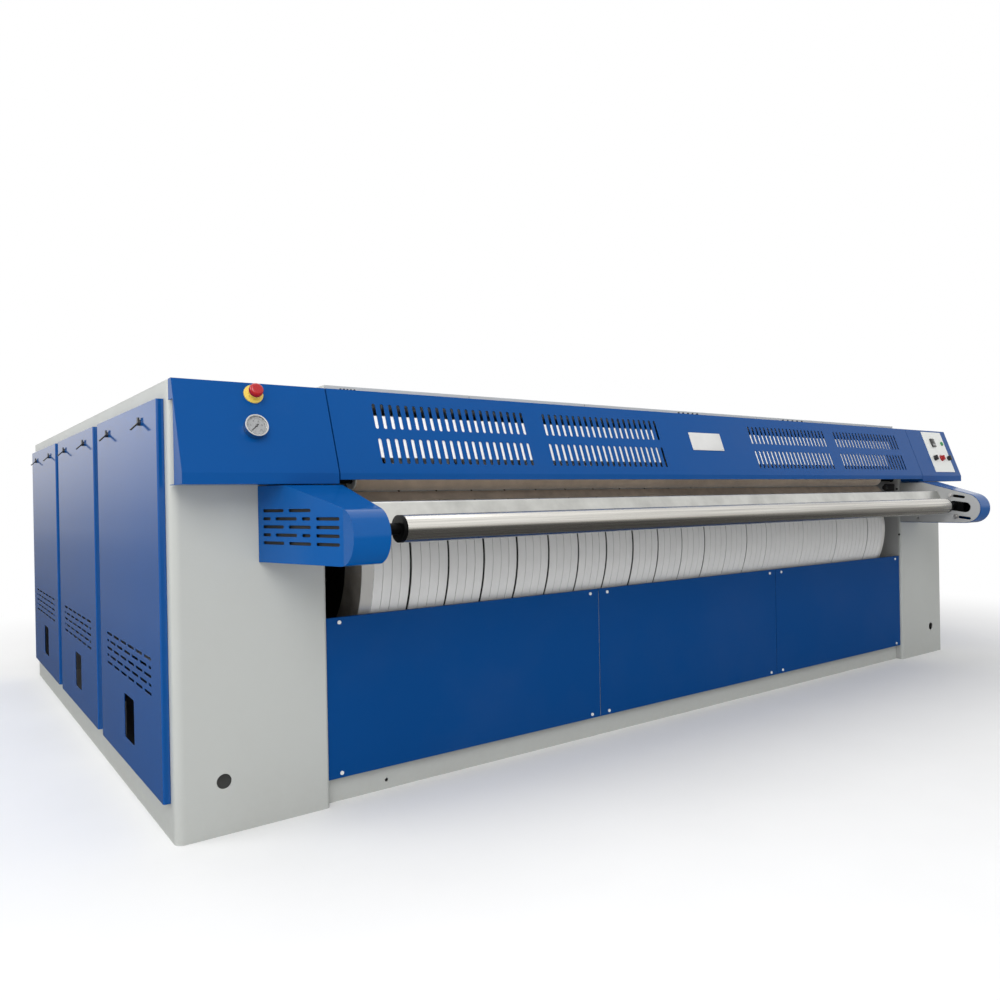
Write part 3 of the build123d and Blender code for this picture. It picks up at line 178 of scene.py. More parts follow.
def set_sockets(tree, node, **values):
    """Sets sockets by their names, with underscores for spaces."""
    for name, value in values.items():
        join(tree, node, name.replace("_", " "), value)


def add(tree, kind, sockets=None, **properties):
    """A new shader node with its properties and its sockets set."""
    made = tree.nodes.new("ShaderNode" + kind)
    for name, value in properties.items():
        setattr(made, name, value)
    for name, value in (sockets or {}).items():
        join(tree, made, name, value)
    return made


def math_of(tree, operation, first, second=0.0, third=0.0):
    """The output of one Math node."""
    return add(tree, "Math", {0: first, 1: second, 2: third}, operation=operation).outputs[0]


def noise(tree, place, scale, detail, roughness=0.5):
    """The value of a noise pattern."""
    sockets = {"Vector": place, "Scale": scale, "Detail": detail, "Roughness": roughness}
    return add(tree, "TexNoise", sockets).outputs["Fac"]


def parts(tree, vector):
    """X, Y and Z of a vector."""
    return add(tree, "SeparateXYZ", {"Vector": vector}).outputs


def length_of(tree, vector):
    """Length of a vector."""
    return add(tree, "VectorMath", {0: vector}, operation="LENGTH").outputs["Value"]


def ramp(tree, value, low, high):
    """A value spread over 0 to 1 between two limits."""
    return add(tree, "MapRange", {"Value": value, "From Min": low, "From Max": high}).outputs["Result"]


def mixed(tree, factor, first, second):
    """One colour mixed into another."""
    return add(tree, "Mix", {0: factor, 6: first, 7: second}, data_type="RGBA").outputs[2]


def rgba(colour):
    """A colour as a socket takes it."""
    return (*tuple(colour)[:3], 1.0)


def darker(colour, share):
    """A colour less a share of its light."""
    return rgba([channel * (1 - share) for channel in tuple(colour)[:3]])


def new_group(name, inputs, outputs):
    """An empty shader node group with its named sockets, its input node and its output node."""
    tree = bpy.data.node_groups.new(name, "ShaderNodeTree")
    for label, kind, default in inputs:
        socket = tree.interface.new_socket(name=label, in_out="INPUT", socket_type=kind)
        if default is not None:
            socket.default_value = default
    for label, kind in outputs:
        tree.interface.new_socket(name=label, in_out="OUTPUT", socket_type=kind)
    return tree, tree.nodes.new("NodeGroupInput").outputs, tree.nodes.new("NodeGroupOutput").inputs


FLOAT = "NodeSocketFloat"
COLOUR = "NodeSocketColor"
VECTOR = "NodeSocketVector"


def orange_peel_group():
    """The fine ripple that sprayed paint dries with."""
    tree, given, out = new_group(
        "Orange peel", [("Vector", VECTOR, None), ("Ripples per metre", FLOAT, 300.0)], [("Height", FLOAT)])
    tree.links.new(noise(tree, given["Vector"], given["Ripples per metre"], 2.0, 0.4), out["Height"])
    return tree


def soiling_group():
    """Cloudy wear all over and dust that gathers towards the floor."""
    tree, given, out = new_group(
        "Soiling",
        [("Vector", VECTOR, None), ("Colour", COLOUR, None), ("Dust", COLOUR, (0.30, 0.28, 0.25, 1.0)),
         ("Amount", FLOAT, 0.1), ("Dust height", FLOAT, 0.25)],
        [("Colour", COLOUR), ("Dullness", FLOAT)])
    cloud = noise(tree, given["Vector"], 2.2, 6.0, 0.62)
    speck = noise(tree, given["Vector"], 46.0, 4.0, 0.7)
    height = parts(tree, given["Vector"])["Z"]
    low = math_of(tree, "SUBTRACT", 1.0, math_of(tree, "DIVIDE", height, given["Dust height"]))
    low = math_of(tree, "MULTIPLY", math_of(tree, "MAXIMUM", low, 0.0), ramp(tree, speck, 0.35, 0.75))
    cloudy = math_of(tree, "MULTIPLY", ramp(tree, cloud, 0.45, 0.75), given["Amount"])
    dull = math_of(tree, "ADD", cloudy, math_of(tree, "MULTIPLY", low, given["Amount"]))
    tree.links.new(mixed(tree, dull, given["Colour"], given["Dust"]), out["Colour"])
    tree.links.new(dull, out["Dullness"])
    return tree


def soft_edge_group():
    """The rounding of folded and cut edges, as a normal."""
    tree, given, out = new_group("Soft edge", [("Radius", FLOAT, 0.0015)], [("Normal", VECTOR)])
    bevel = add(tree, "Bevel", {"Radius": given["Radius"]}, samples=4)
    tree.links.new(bevel.outputs["Normal"], out["Normal"])
    return tree


def turned_group():
    """Fine tool marks that run round a part turned about an X axis."""
    tree, given, out = new_group(
        "Turned marks", [("Vector", VECTOR, None), ("Marks per metre", FLOAT, 900.0)],
        [("Height", FLOAT), ("Mask", FLOAT)])
    along = parts(tree, given["Vector"])["X"]
    for name, rate, detail in (("Height", given["Marks per metre"], 3.0), ("Mask", 7.0, 5.0)):
        sockets = {"W": math_of(tree, "MULTIPLY", along, rate), "Scale": 1.0, "Detail": detail}
        tree.links.new(add(tree, "TexNoise", sockets, noise_dimensions="1D").outputs["Fac"], out[name])
    return tree


def drawn_group():
    """Polishing lines that run along a tube, told apart by their place round its axis."""
    tree, given, out = new_group(
        "Drawn lines", [("Vector", VECTOR, None), ("Centre Y", FLOAT, 0.0), ("Centre Z", FLOAT, 0.0)],
        [("Height", FLOAT), ("Mask", FLOAT)])
    part = parts(tree, given["Vector"])
    out_y = math_of(tree, "SUBTRACT", part["Y"], given["Centre Y"])
    out_z = math_of(tree, "SUBTRACT", part["Z"], given["Centre Z"])
    around = add(tree, "CombineXYZ",
                 {"X": math_of(tree, "MULTIPLY", part["X"], 0.006), "Y": out_y, "Z": out_z}).outputs[0]
    tree.links.new(noise(tree, around, 420.0, 3.0, 0.6), out["Height"])
    tree.links.new(ramp(tree, noise(tree, around, 95.0, 4.0, 0.65), 0.40, 0.68), out["Mask"])
    return tree


def weave_group():
    """Plain weave: threads that pass over and under along X and round the belt."""
    tree, given, out = new_group(
        "Weave", [("Vector", VECTOR, None), ("Threads per metre", FLOAT, 900.0)],
        [("Height", FLOAT), ("Shade", FLOAT)])
    turn = math_of(tree, "MULTIPLY", given["Threads per metre"], math.pi)
    part = parts(tree, given["Vector"])
    across = math_of(tree, "SINE", math_of(tree, "MULTIPLY", part["X"], turn))
    along = math_of(tree, "SINE", math_of(tree, "MULTIPLY", part["Y"], turn))
    over = math_of(tree, "MULTIPLY", across, along)
    slub = noise(tree, given["Vector"], 22.0, 5.0)
    tree.links.new(math_of(tree, "MULTIPLY_ADD", slub, 0.3, over), out["Height"])
    tree.links.new(ramp(tree, slub, 0.3, 0.7), out["Shade"])
    return tree


GROUPS = {}


def place_group(tree, maker, **sockets):
    """The outputs of one use of a shared group, which is made the first time it is asked for."""
    if maker not in GROUPS:
        GROUPS[maker] = maker()
    made = add(tree, "Group", node_tree=GROUPS[maker])
    set_sockets(tree, made, **sockets)
    return made.outputs


def new_material(name):
    """A material with its Principled shader and its Object coordinates."""
    material = bpy.data.materials.new(name)
    material.use_nodes = True
    tree = material.node_tree
    shader = tree.nodes["Principled BSDF"]
    place = add(tree, "TexCoord").outputs["Object"]
    return material, tree, shader, place


def finish_surface(tree, shader, height, distance, edge=0.0015):
    """Joins a height and the soft edges to the shader's normal."""
    normal = place_group(tree, soft_edge_group, Radius=edge)["Normal"]
    bump = add(tree, "Bump", {"Height": height, "Distance": distance, "Strength": 1.0, "Normal": normal})
    tree.links.new(bump.outputs["Normal"], shader.inputs["Normal"])


# ---- materials ----
def paint(name, colour, roughness, amount=0.12, dust=0.2, level=0.5, ripples=260.0, depth=0.00006,
          dulling=0.6, edge=0.0015):
    """Sprayed paint on sheet metal."""
    material, tree, shader, place = new_material(name)
    soiled = place_group(tree, soiling_group, Vector=place, Colour=rgba(colour), Amount=amount,
                         Dust_height=dust)
    rough = math_of(tree, "MULTIPLY_ADD", soiled["Dullness"], dulling, roughness)
    set_sockets(tree, shader, Base_Color=soiled["Colour"], Roughness=rough, Specular_IOR_Level=level)
    height = place_group(tree, orange_peel_group, Vector=place, Ripples_per_metre=ripples)["Height"]
    finish_surface(tree, shader, height, depth, edge)
    return material


def plastic(name, colour, roughness):
    """Moulded plastic with a fine grain."""
    return paint(name, colour, roughness, amount=0.08, dust=0.01, ripples=1400.0, depth=0.00004,
                 dulling=0.8, edge=0.0008)


def steel(name, colour, roughness, marks, edge=0.001, stain=0.28):
    """Turned or brushed steel."""
    material, tree, shader, place = new_material(name)
    lines = place_group(tree, turned_group, Vector=place, Marks_per_metre=marks)
    shade = ramp(tree, noise(tree, place, 9.0, 5.0, 0.6), 0.35, 0.75)
    set_sockets(tree, shader, Base_Color=mixed(tree, shade, rgba(colour), darker(colour, stain)),
                Metallic=1.0, Roughness=math_of(tree, "MULTIPLY_ADD", lines["Mask"], 0.15, roughness))
    finish_surface(tree, shader, lines["Height"], 0.00002, edge)
    return material


def drawn_tube(name, colour, middle):
    """Ground steel tube whose polishing lines run along it."""
    material, tree, shader, place = new_material(name)
    lines = place_group(tree, drawn_group, Vector=place, Centre_Y=middle.y, Centre_Z=middle.z)
    set_sockets(tree, shader, Base_Color=mixed(tree, lines["Mask"], rgba(colour), darker(colour, 0.45)),
                Metallic=1.0, Anisotropic=0.5,
                Roughness=math_of(tree, "MULTIPLY_ADD", lines["Mask"], 0.16, 0.20))
    finish_surface(tree, shader, lines["Height"], 0.00006, 0.001)
    return material


def cloth(name, colour, threads, depth, shade_depth=0.12, sheen=0.25):
    """Woven cloth, a little darker in places."""
    material, tree, shader, place = new_material(name)
    woven = place_group(tree, weave_group, Vector=place, Threads_per_metre=threads)
    shaded = mixed(tree, woven["Shade"], rgba(colour), darker(colour, shade_depth))
    set_sockets(tree, shader, Base_Color=shaded, Roughness=0.92, Sheen_Weight=sheen)
    finish_surface(tree, shader, woven["Height"], depth, 0.0005)
    return material


def blacked_steel(name):
    """Blacked steel, a little rubbed in bands."""
    material, tree, shader, place = new_material(name)
    marks = place_group(tree, turned_group, Vector=place, Marks_per_metre=1200.0)
    bare = ramp(tree, marks["Mask"], 0.62, 0.80)
    wear_and_painted_shade = mixed(tree, bare, rgba((0.003, 0.003, 0.003)), rgba((0.012, 0.012, 0.011)))
    rough = math_of(tree, "MULTIPLY_ADD", marks["Mask"], 0.2, 0.3)
    set_sockets(tree, shader, Base_Color=wear_and_painted_shade, Roughness=rough, Specular_IOR_Level=0.08)
    finish_surface(tree, shader, marks["Height"], 0.00002, 0.001)
    return material


# Distances from a cylinder's axis, in metres: where its middle, painted near black as shade, ends and where
# its shell starts.
HEAD_MIDDLE, SHELL_START = 0.276, 0.396


def cylinder_iron(name, middle, belts_from, belts_to):
    """Cylinder: browned heads whose middle is painted near black as shade, a shell painted near black under
    the belts as the shade in the gaps between them, and a bright bare rim.
    """
    material, tree, shader, place = new_material(name)
    shifted = add(tree, "VectorMath", {0: place, 1: (0.0, -middle.y, -middle.z)}, operation="ADD")
    flat = add(tree, "VectorMath", {0: shifted.outputs[0], 1: (0.0, 1.0, 1.0)}, operation="MULTIPLY")
    radius = length_of(tree, flat.outputs[0])
    along = parts(tree, place)["X"]
    inside = math_of(tree, "LESS_THAN", radius, HEAD_MIDDLE)
    shell = math_of(tree, "GREATER_THAN", radius, SHELL_START)
    outside = math_of(tree, "MAXIMUM", math_of(tree, "LESS_THAN", along, belts_from),
                      math_of(tree, "GREATER_THAN", along, belts_to))
    bare = math_of(tree, "MULTIPLY", shell, outside)
    stained = ramp(tree, noise(tree, place, 14.0, 6.0, 0.65), 0.35, 0.7)
    browned = mixed(tree, stained, rgba((0.34, 0.31, 0.27)), rgba((0.19, 0.17, 0.145)))
    # Painted shade: the middle of each head is painted near black for the shade seen there.
    head = mixed(tree, inside, browned, rgba((0.012, 0.012, 0.012)))
    # Painted shade: the shell under the belts is painted near black, so the gaps between the belts show as
    # shade.
    wear_and_painted_shade = mixed(tree, shell, head, rgba((0.008, 0.008, 0.008)))
    marks = place_group(tree, turned_group, Vector=place, Marks_per_metre=700.0)
    set_sockets(tree, shader, Base_Color=mixed(tree, bare, wear_and_painted_shade, rgba((0.80, 0.79, 0.76))),
                Metallic=math_of(tree, "MULTIPLY_ADD", bare, 0.2, 0.3),
                Roughness=math_of(tree, "MULTIPLY_ADD", bare, -0.2, 0.5))
    finish_surface(tree, shader, marks["Height"], 0.00002)
    return material


def glass(name):
    """Clear window."""
    material, tree, shader, place = new_material(name)
    smeared = math_of(tree, "MULTIPLY", noise(tree, place, 90.0, 3.0), 0.04)
    set_sockets(tree, shader, Base_Color=rgba((1.0, 1.0, 1.0)), Transmission_Weight=1.0, IOR=1.45,
                Metallic=0.0, Roughness=smeared)
    return material


# ---- mesh helpers ----
def link_mesh(name, bm, material):
    """A new object in the scene, made from a bmesh that it frees."""
    mesh = bpy.data.meshes.new(name)
    bm.to_mesh(mesh)
    bm.free()
    mesh.materials.append(material)
    made = bpy.data.objects.new(name, mesh)
    bpy.context.scene.collection.objects.link(made)
    return made


def piece(name, bm, material, body, smooth=30.0):
    """A finished piece: shading by angle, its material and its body."""
    made = link_mesh(name, bm, material)
    for face in made.data.polygons:
        face.use_smooth = True
    made.data.set_sharp_from_angle(angle=math.radians(smooth))
    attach(made, body)
    return made


def verts_in(geom):
    """The vertices among what an operator gives back."""
    return [item for item in geom if isinstance(item, bmesh.types.BMVert)]


def middle_of(name):
    """Middle of a node's box."""
    low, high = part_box(name)
    return (low + high) / 2


def radius_of(name):
    """Radius of a node that is round about an X axis."""
    low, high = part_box(name)
    return (high.z - low.z) / 2


def axes_at(origin, *axes):
    """The matrix that turns to three directions and moves to an origin."""
    return Matrix.Translation(origin) @ Matrix(axes).transposed().to_4x4()


def outward(bm):
    """Merges doubles and turns every face outwards."""
    bmesh.ops.remove_doubles(bm, verts=bm.verts, dist=0.00002)
    bmesh.ops.recalc_face_normals(bm, faces=bm.faces)


def rounded_block(bm, low, high, radius):
    """Adds a block with rounded edges between two corners."""
    size = Vector(high) - Vector(low)
    made = bmesh.ops.create_cube(bm, size=1.0)["verts"]
    bmesh.ops.scale(bm, vec=size, verts=made)
    bmesh.ops.translate(bm, vec=(Vector(low) + Vector(high)) / 2, verts=made)
    edges = list({edge for vert in made for edge in vert.link_edges})
    bmesh.ops.bevel(bm, geom=edges, offset=radius, affect="EDGES", segments=2, profile=0.5, material=-1)


def spun(bm, points, centre, axis, steps):
    """Spins an open line of points one whole turn."""
    verts = [bm.verts.new(point) for point in points]
    edges = [bm.edges.new(pair) for pair in zip(verts, verts[1:])]
    bmesh.ops.spin(bm, geom=verts + edges, cent=centre, axis=axis, angle=2 * math.pi, steps=steps,
                   use_merge=True, use_duplicate=False)


def turned(bm, profile, axis_y, axis_z, steps=64):
    """Spins a profile of (x, radius) points round an X axis."""
    spun(bm, [(x, axis_y, axis_z + radius) for x, radius in profile], (0, axis_y, axis_z), (1, 0, 0), steps)


def spun_on_face(bm, place, profile, steps=48):
    """Spins a profile of (radius, lift) points round a line square to the hood's face."""
    x, up = place
    spun(bm, [(x + radius, up, lift) for radius, lift in profile], (x, up, 0), (0, 0, 1), steps)


def on_face(name):
    """Where a node sits on the hood's front: its place along X and its height above the top edge."""
    middle = middle_of(name)
    return middle.x, (middle - HOOD_TOP).dot(HOOD_UP)


def face_piece(name, bm, material, body):
    """A piece drawn on the hood's front, put in its place."""
    outward(bm)
    bmesh.ops.transform(bm, matrix=HOOD_FACE, verts=bm.verts)
    return piece(name, bm, material, body)


def cut_sheet(bm, outline, thickness, place):
    """Adds a flat sheet of the outline's shape, and puts it in its place."""
    verts = [bm.verts.new((a, b, 0)) for a, b in outline]
    moved = verts_in(bmesh.ops.extrude_face_region(bm, geom=[bm.faces.new(verts)])["geom"])
    bmesh.ops.translate(bm, vec=(0, 0, thickness), verts=moved)
    bmesh.ops.transform(bm, matrix=place, verts=verts + moved)


def lettering(bm, text, size, place):
    """Adds flat characters centred on a place."""
    curve = bpy.data.curves.new("characters", "FONT")
    curve.body = text
    curve.size = size
    curve.extrude = 0.0001
    curve.resolution_u = 3
    curve.align_x = "CENTER"
    curve.align_y = "CENTER"
    drawn = bpy.data.objects.new("characters", curve)
    mesh = bpy.data.meshes.new_from_object(drawn)
    mesh.transform(Matrix.Translation(place))
    bm.from_mesh(mesh)
    bpy.data.meshes.remove(mesh)
    bpy.data.objects.remove(drawn)
    bpy.data.curves.remove(curve)


def paint_nodes(names, material):
    """Gives CAD nodes their material."""
    for name in names:
        mesh = NODES[name].data
        mesh.materials.clear()
        mesh.materials.append(material)


# ---- operators ----
class IRONER_OT_stage(bpy.types.Operator):
    """Camera at the photographed view, pale floor, even sky and soft lamps"""
    bl_idname = "ironer.stage"
    bl_label = "Stage"

    # Name, place, target, size and power of each lamp.
    lamps = (("Key", (-4.4, -6.8, 5.4), (0.0, 0.0, 0.7), 5.0, 320.0),
             ("Side", (-9.0, 1.0, 4.5), (-1.5, 0.0, 0.7), 5.0, 260.0),
             ("Top", (0.0, 0.5, 7.5), (0.0, 0.0, 0.0), 7.0, 110.0))
    # Height of the card's middle over the floor, in metres, just clear of it.
    card_lift = 0.004

    def execute(self, context):
        stage = stage_settings()
        self.camera(context, stage)
        self.floor(stage)
        self.card(stage)
        self.sky(context, stage)
        for lamp in self.lamps:
            self.lamp(context, *lamp)
        return {"FINISHED"}

    def camera(self, context, stage):
        """The photographed view, without any change of tone."""
        yaw, pitch, roll = stage.camera_yaw, stage.camera_pitch, stage.camera_roll
        ahead = Vector((math.sin(yaw) * math.cos(pitch), math.cos(yaw) * math.cos(pitch), math.sin(pitch)))
        level = Vector((math.cos(yaw), -math.sin(yaw), 0))
        upright = level.cross(ahead)
        right = math.cos(roll) * level + math.sin(roll) * upright
        up = -math.sin(roll) * level + math.cos(roll) * upright
        camera = bpy.data.objects.new("Camera", bpy.data.cameras.new("Camera"))
        camera.data.lens = stage.camera_lens
        camera.data.sensor_width = 36.0
        camera.data.clip_start = 0.05
        camera.data.clip_end = 300.0
        camera.matrix_world = axes_at(stage.camera_place, right, up, -ahead)
        context.scene.collection.objects.link(camera)
        context.scene.camera = camera
        context.scene.view_settings.view_transform = "Standard"

    def floor(self, stage):
        """A pale floor that takes shadows and turns white towards its edge."""
        material, tree, shader, place = new_material("Studio floor")
        tint = mixed(tree, noise(tree, place, 3.0, 3.0), (0.92, 0.92, 0.92, 1.0), (0.96, 0.96, 0.96, 1.0))
        set_sockets(tree, shader, Base_Color=tint, Roughness=0.9, Specular_IOR_Level=0.1)
        limits = {"Value": length_of(tree, place), "From Min": stage.fade_start, "From Max": stage.fade_end}
        fade = add(tree, "MapRange", limits, interpolation_type="SMOOTHSTEP").outputs["Result"]
        white = add(tree, "Emission", {"Color": (1, 1, 1, 1), "Strength": 1.0})
        both = add(tree, "MixShader", {0: math_of(tree, "MULTIPLY", fade, self.seen(tree)),
                                       1: shader.outputs[0], 2: white.outputs[0]})
        tree.links.new(both.outputs[0], tree.nodes["Material Output"].inputs["Surface"])
        bm = bmesh.new()
        bmesh.ops.create_grid(bm, x_segments=1, y_segments=1, size=stage.floor_size / 2)
        floor = link_mesh("floor", bm, material)

    def card(self, stage):
        """A dim floor with an upturned edge, seen only in reflections: the dark side of gloss and metal."""
        material, tree, _, place = new_material("Reflection card")
        part = parts(tree, place)
        aside = math_of(tree, "ABSOLUTE", part["X"])
        # Each step is a value, the limits between which it counts, and the light that it adds.
        level = 0.09
        for value, low, high, light in (
                (aside, 2.1, 3.2, 0.12), (aside, 3.2, 7.0, 0.08), (length_of(tree, place), 8.0, 35.0, 0.11),
                (part["Z"], self.card_lift, stage.card_height, 0.60)):
            level = math_of(tree, "MULTIPLY_ADD", ramp(tree, value, low, high), light, level)
        glow = add(tree, "Emission", {"Color": (1.0, 0.98, 0.95, 1.0), "Strength": level})
        tree.links.new(glow.outputs[0], tree.nodes["Material Output"].inputs["Surface"])
        bm = bmesh.new()
        radius = stage.card_radius
        spun(bm, [(0, 0, self.card_lift), (radius, 0, self.card_lift), (radius, 0, stage.card_height)],
             (0, 0, 0), (0, 0, 1), 64)
        bmesh.ops.remove_doubles(bm, verts=bm.verts, dist=0.0001)
        card = link_mesh("card", bm, material)
        card.visible_camera = False
        card.visible_diffuse = False
        card.visible_transmission = False
        card.visible_shadow = False

    def seen(self, tree):
        """1 on rays that show the background: from the camera, off metal and through glass."""
        path = add(tree, "LightPath").outputs
        bent = math_of(tree, "MAXIMUM", path["Is Glossy Ray"], path["Is Transmission Ray"])
        return math_of(tree, "MAXIMUM", path["Is Camera Ray"], bent)

    def sky(self, context, stage):
        """Even light from all round, and white where the background shows."""
        world = bpy.data.worlds.new("Studio")
        context.scene.world = world
        world.use_nodes = True
        tree = world.node_tree
        tree.nodes.clear()
        even = add(tree, "Background", {"Color": (1, 1, 1, 1), "Strength": stage.sky_level})
        white = add(tree, "Background", {"Color": (1, 1, 1, 1), "Strength": 1.0})
        both = add(tree, "MixShader", {0: self.seen(tree), 1: even.outputs[0], 2: white.outputs[0]})
        add(tree, "OutputWorld", {"Surface": both.outputs[0]})

    def lamp(self, context, name, place, target, size, power):
        """A square soft lamp turned to its target."""
        light = bpy.data.lights.new(name, "AREA")
        light.shape = "SQUARE"
        light.size = size
        light.energy = power
        lamp = bpy.data.objects.new(name, light)
        lamp.location = place
        lamp.rotation_euler = (Vector(target) - Vector(place)).to_track_quat("-Z", "Y").to_euler()
        context.scene.collection.objects.link(lamp)


class IRONER_OT_cabinets(bpy.types.Operator):
    """Grey powder paint on the cabinets, the roof, the rear and the cross frame"""
    bl_idname = "ironer.cabinets"
    bl_label = "Cabinets"

    def execute(self, context):
        grey = paint("Cabinet paint", colours().cabinet, 0.38, amount=0.10, dust=0.22)
        paint_nodes(["left_end_frame", "right_end_frame", "rear_panels", "cross_frame"], grey)
        roof = paint("Roof paint", (0.60, 0.61, 0.59), 0.55, amount=0.08, dust=0.01, level=0.25)
        paint_nodes(["roof_panels"], roof)
        walls = paint("Wall paint", (0.42, 0.425, 0.42), 0.5, amount=0.18)
        paint_nodes(["left_bearing_wall", "right_bearing_wall", "bracket_plates"], walls)
        return {"FINISHED"}


class IRONER_OT_blue_panels(bpy.types.Operator):
    """Gloss blue paint on the hood, the brackets, the kick panels and the doors; the kick panels take a
    darker copy of the blue as painted shade
    """
    bl_idname = "ironer.blue_panels"
    bl_label = "Blue panels"

    def execute(self, context):
        panel = paint("Blue paint", colours().blue, 0.24, amount=0.02, dust=0.1, level=0.12)
        paint_nodes(["hood_panel", "left_hood_end", "right_hood_end"], panel)
        # Painted shade: a darker copy of the panel blue, for the kick panels in shade under the table.
        low = paint("Low panel shaded paint", (0.001, 0.054, 0.215), 0.34, amount=0.02, dust=0.1, level=0.06)
        paint_nodes(["kick_panels"], low)
        cover = paint("Cover paint", (0.002, 0.084, 0.31), 0.13, amount=0.02, dust=0.1, level=0.22)
        paint_nodes(["left_bracket_cover", "right_bracket_cover"], cover)
        door = paint("Door paint", colours().blue, 0.10, amount=0.03, dust=0.3, ripples=60.0, depth=0.00005)
        doors = [name for name in NODES if "door" in name and "latch" not in name]
        paint_nodes(doors, door)
        return {"FINISHED"}


class IRONER_OT_metalwork(bpy.types.Operator):
    """Steel of the rollers, the cylinders, the bearings, the drive and the trays"""
    bl_idname = "ironer.metalwork"
    bl_label = "Metalwork"

    def execute(self, context):
        tube = drawn_tube("Polished roller", (0.74, 0.72, 0.67), middle_of("feed_roller"))
        paint_nodes(["feed_roller"], tube)
        paint_nodes(["feed_table", "delivery_tray"], steel("Table sheet", (0.60, 0.60, 0.57), 0.26, 500.0))
        paint_nodes(["feed_roller_shaft", "bearings"], blacked_steel("Blacked steel"))
        for i in (1, 2, 3):
            iron = cylinder_iron(f"Cylinder {i}", middle_of(f"cylinder_{i}"), *belts_span())
            paint_nodes([f"cylinder_{i}"], iron)
        dull = steel("Dull steel", (0.36, 0.355, 0.35), 0.42, 600.0)
        paint_nodes(["belt_roller_1", "belt_roller_2", "belt_roller_3"], dull)
        oiled = steel("Oiled steel", (0.13, 0.125, 0.12), 0.35, 400.0)
        paint_nodes(["drive_chains", "drive_sprocket", "feed_sprocket"], oiled)
        paint_nodes(["drive_motors"], paint("Motor paint", (0.03, 0.07, 0.13), 0.4, amount=0.3, dust=0.4))
        paint_nodes(["steam_pipes"], paint("Pipe paint", (0.28, 0.28, 0.27), 0.55, amount=0.3))
        paint_nodes(["panel_screws"], paint("Screw zinc", (0.84, 0.84, 0.82), 0.3, amount=0.08))
        latches = [name for name in NODES if "latch" in name]
        paint_nodes(latches, plastic("Latch black", (0.02, 0.02, 0.021), 0.28))
        return {"FINISHED"}


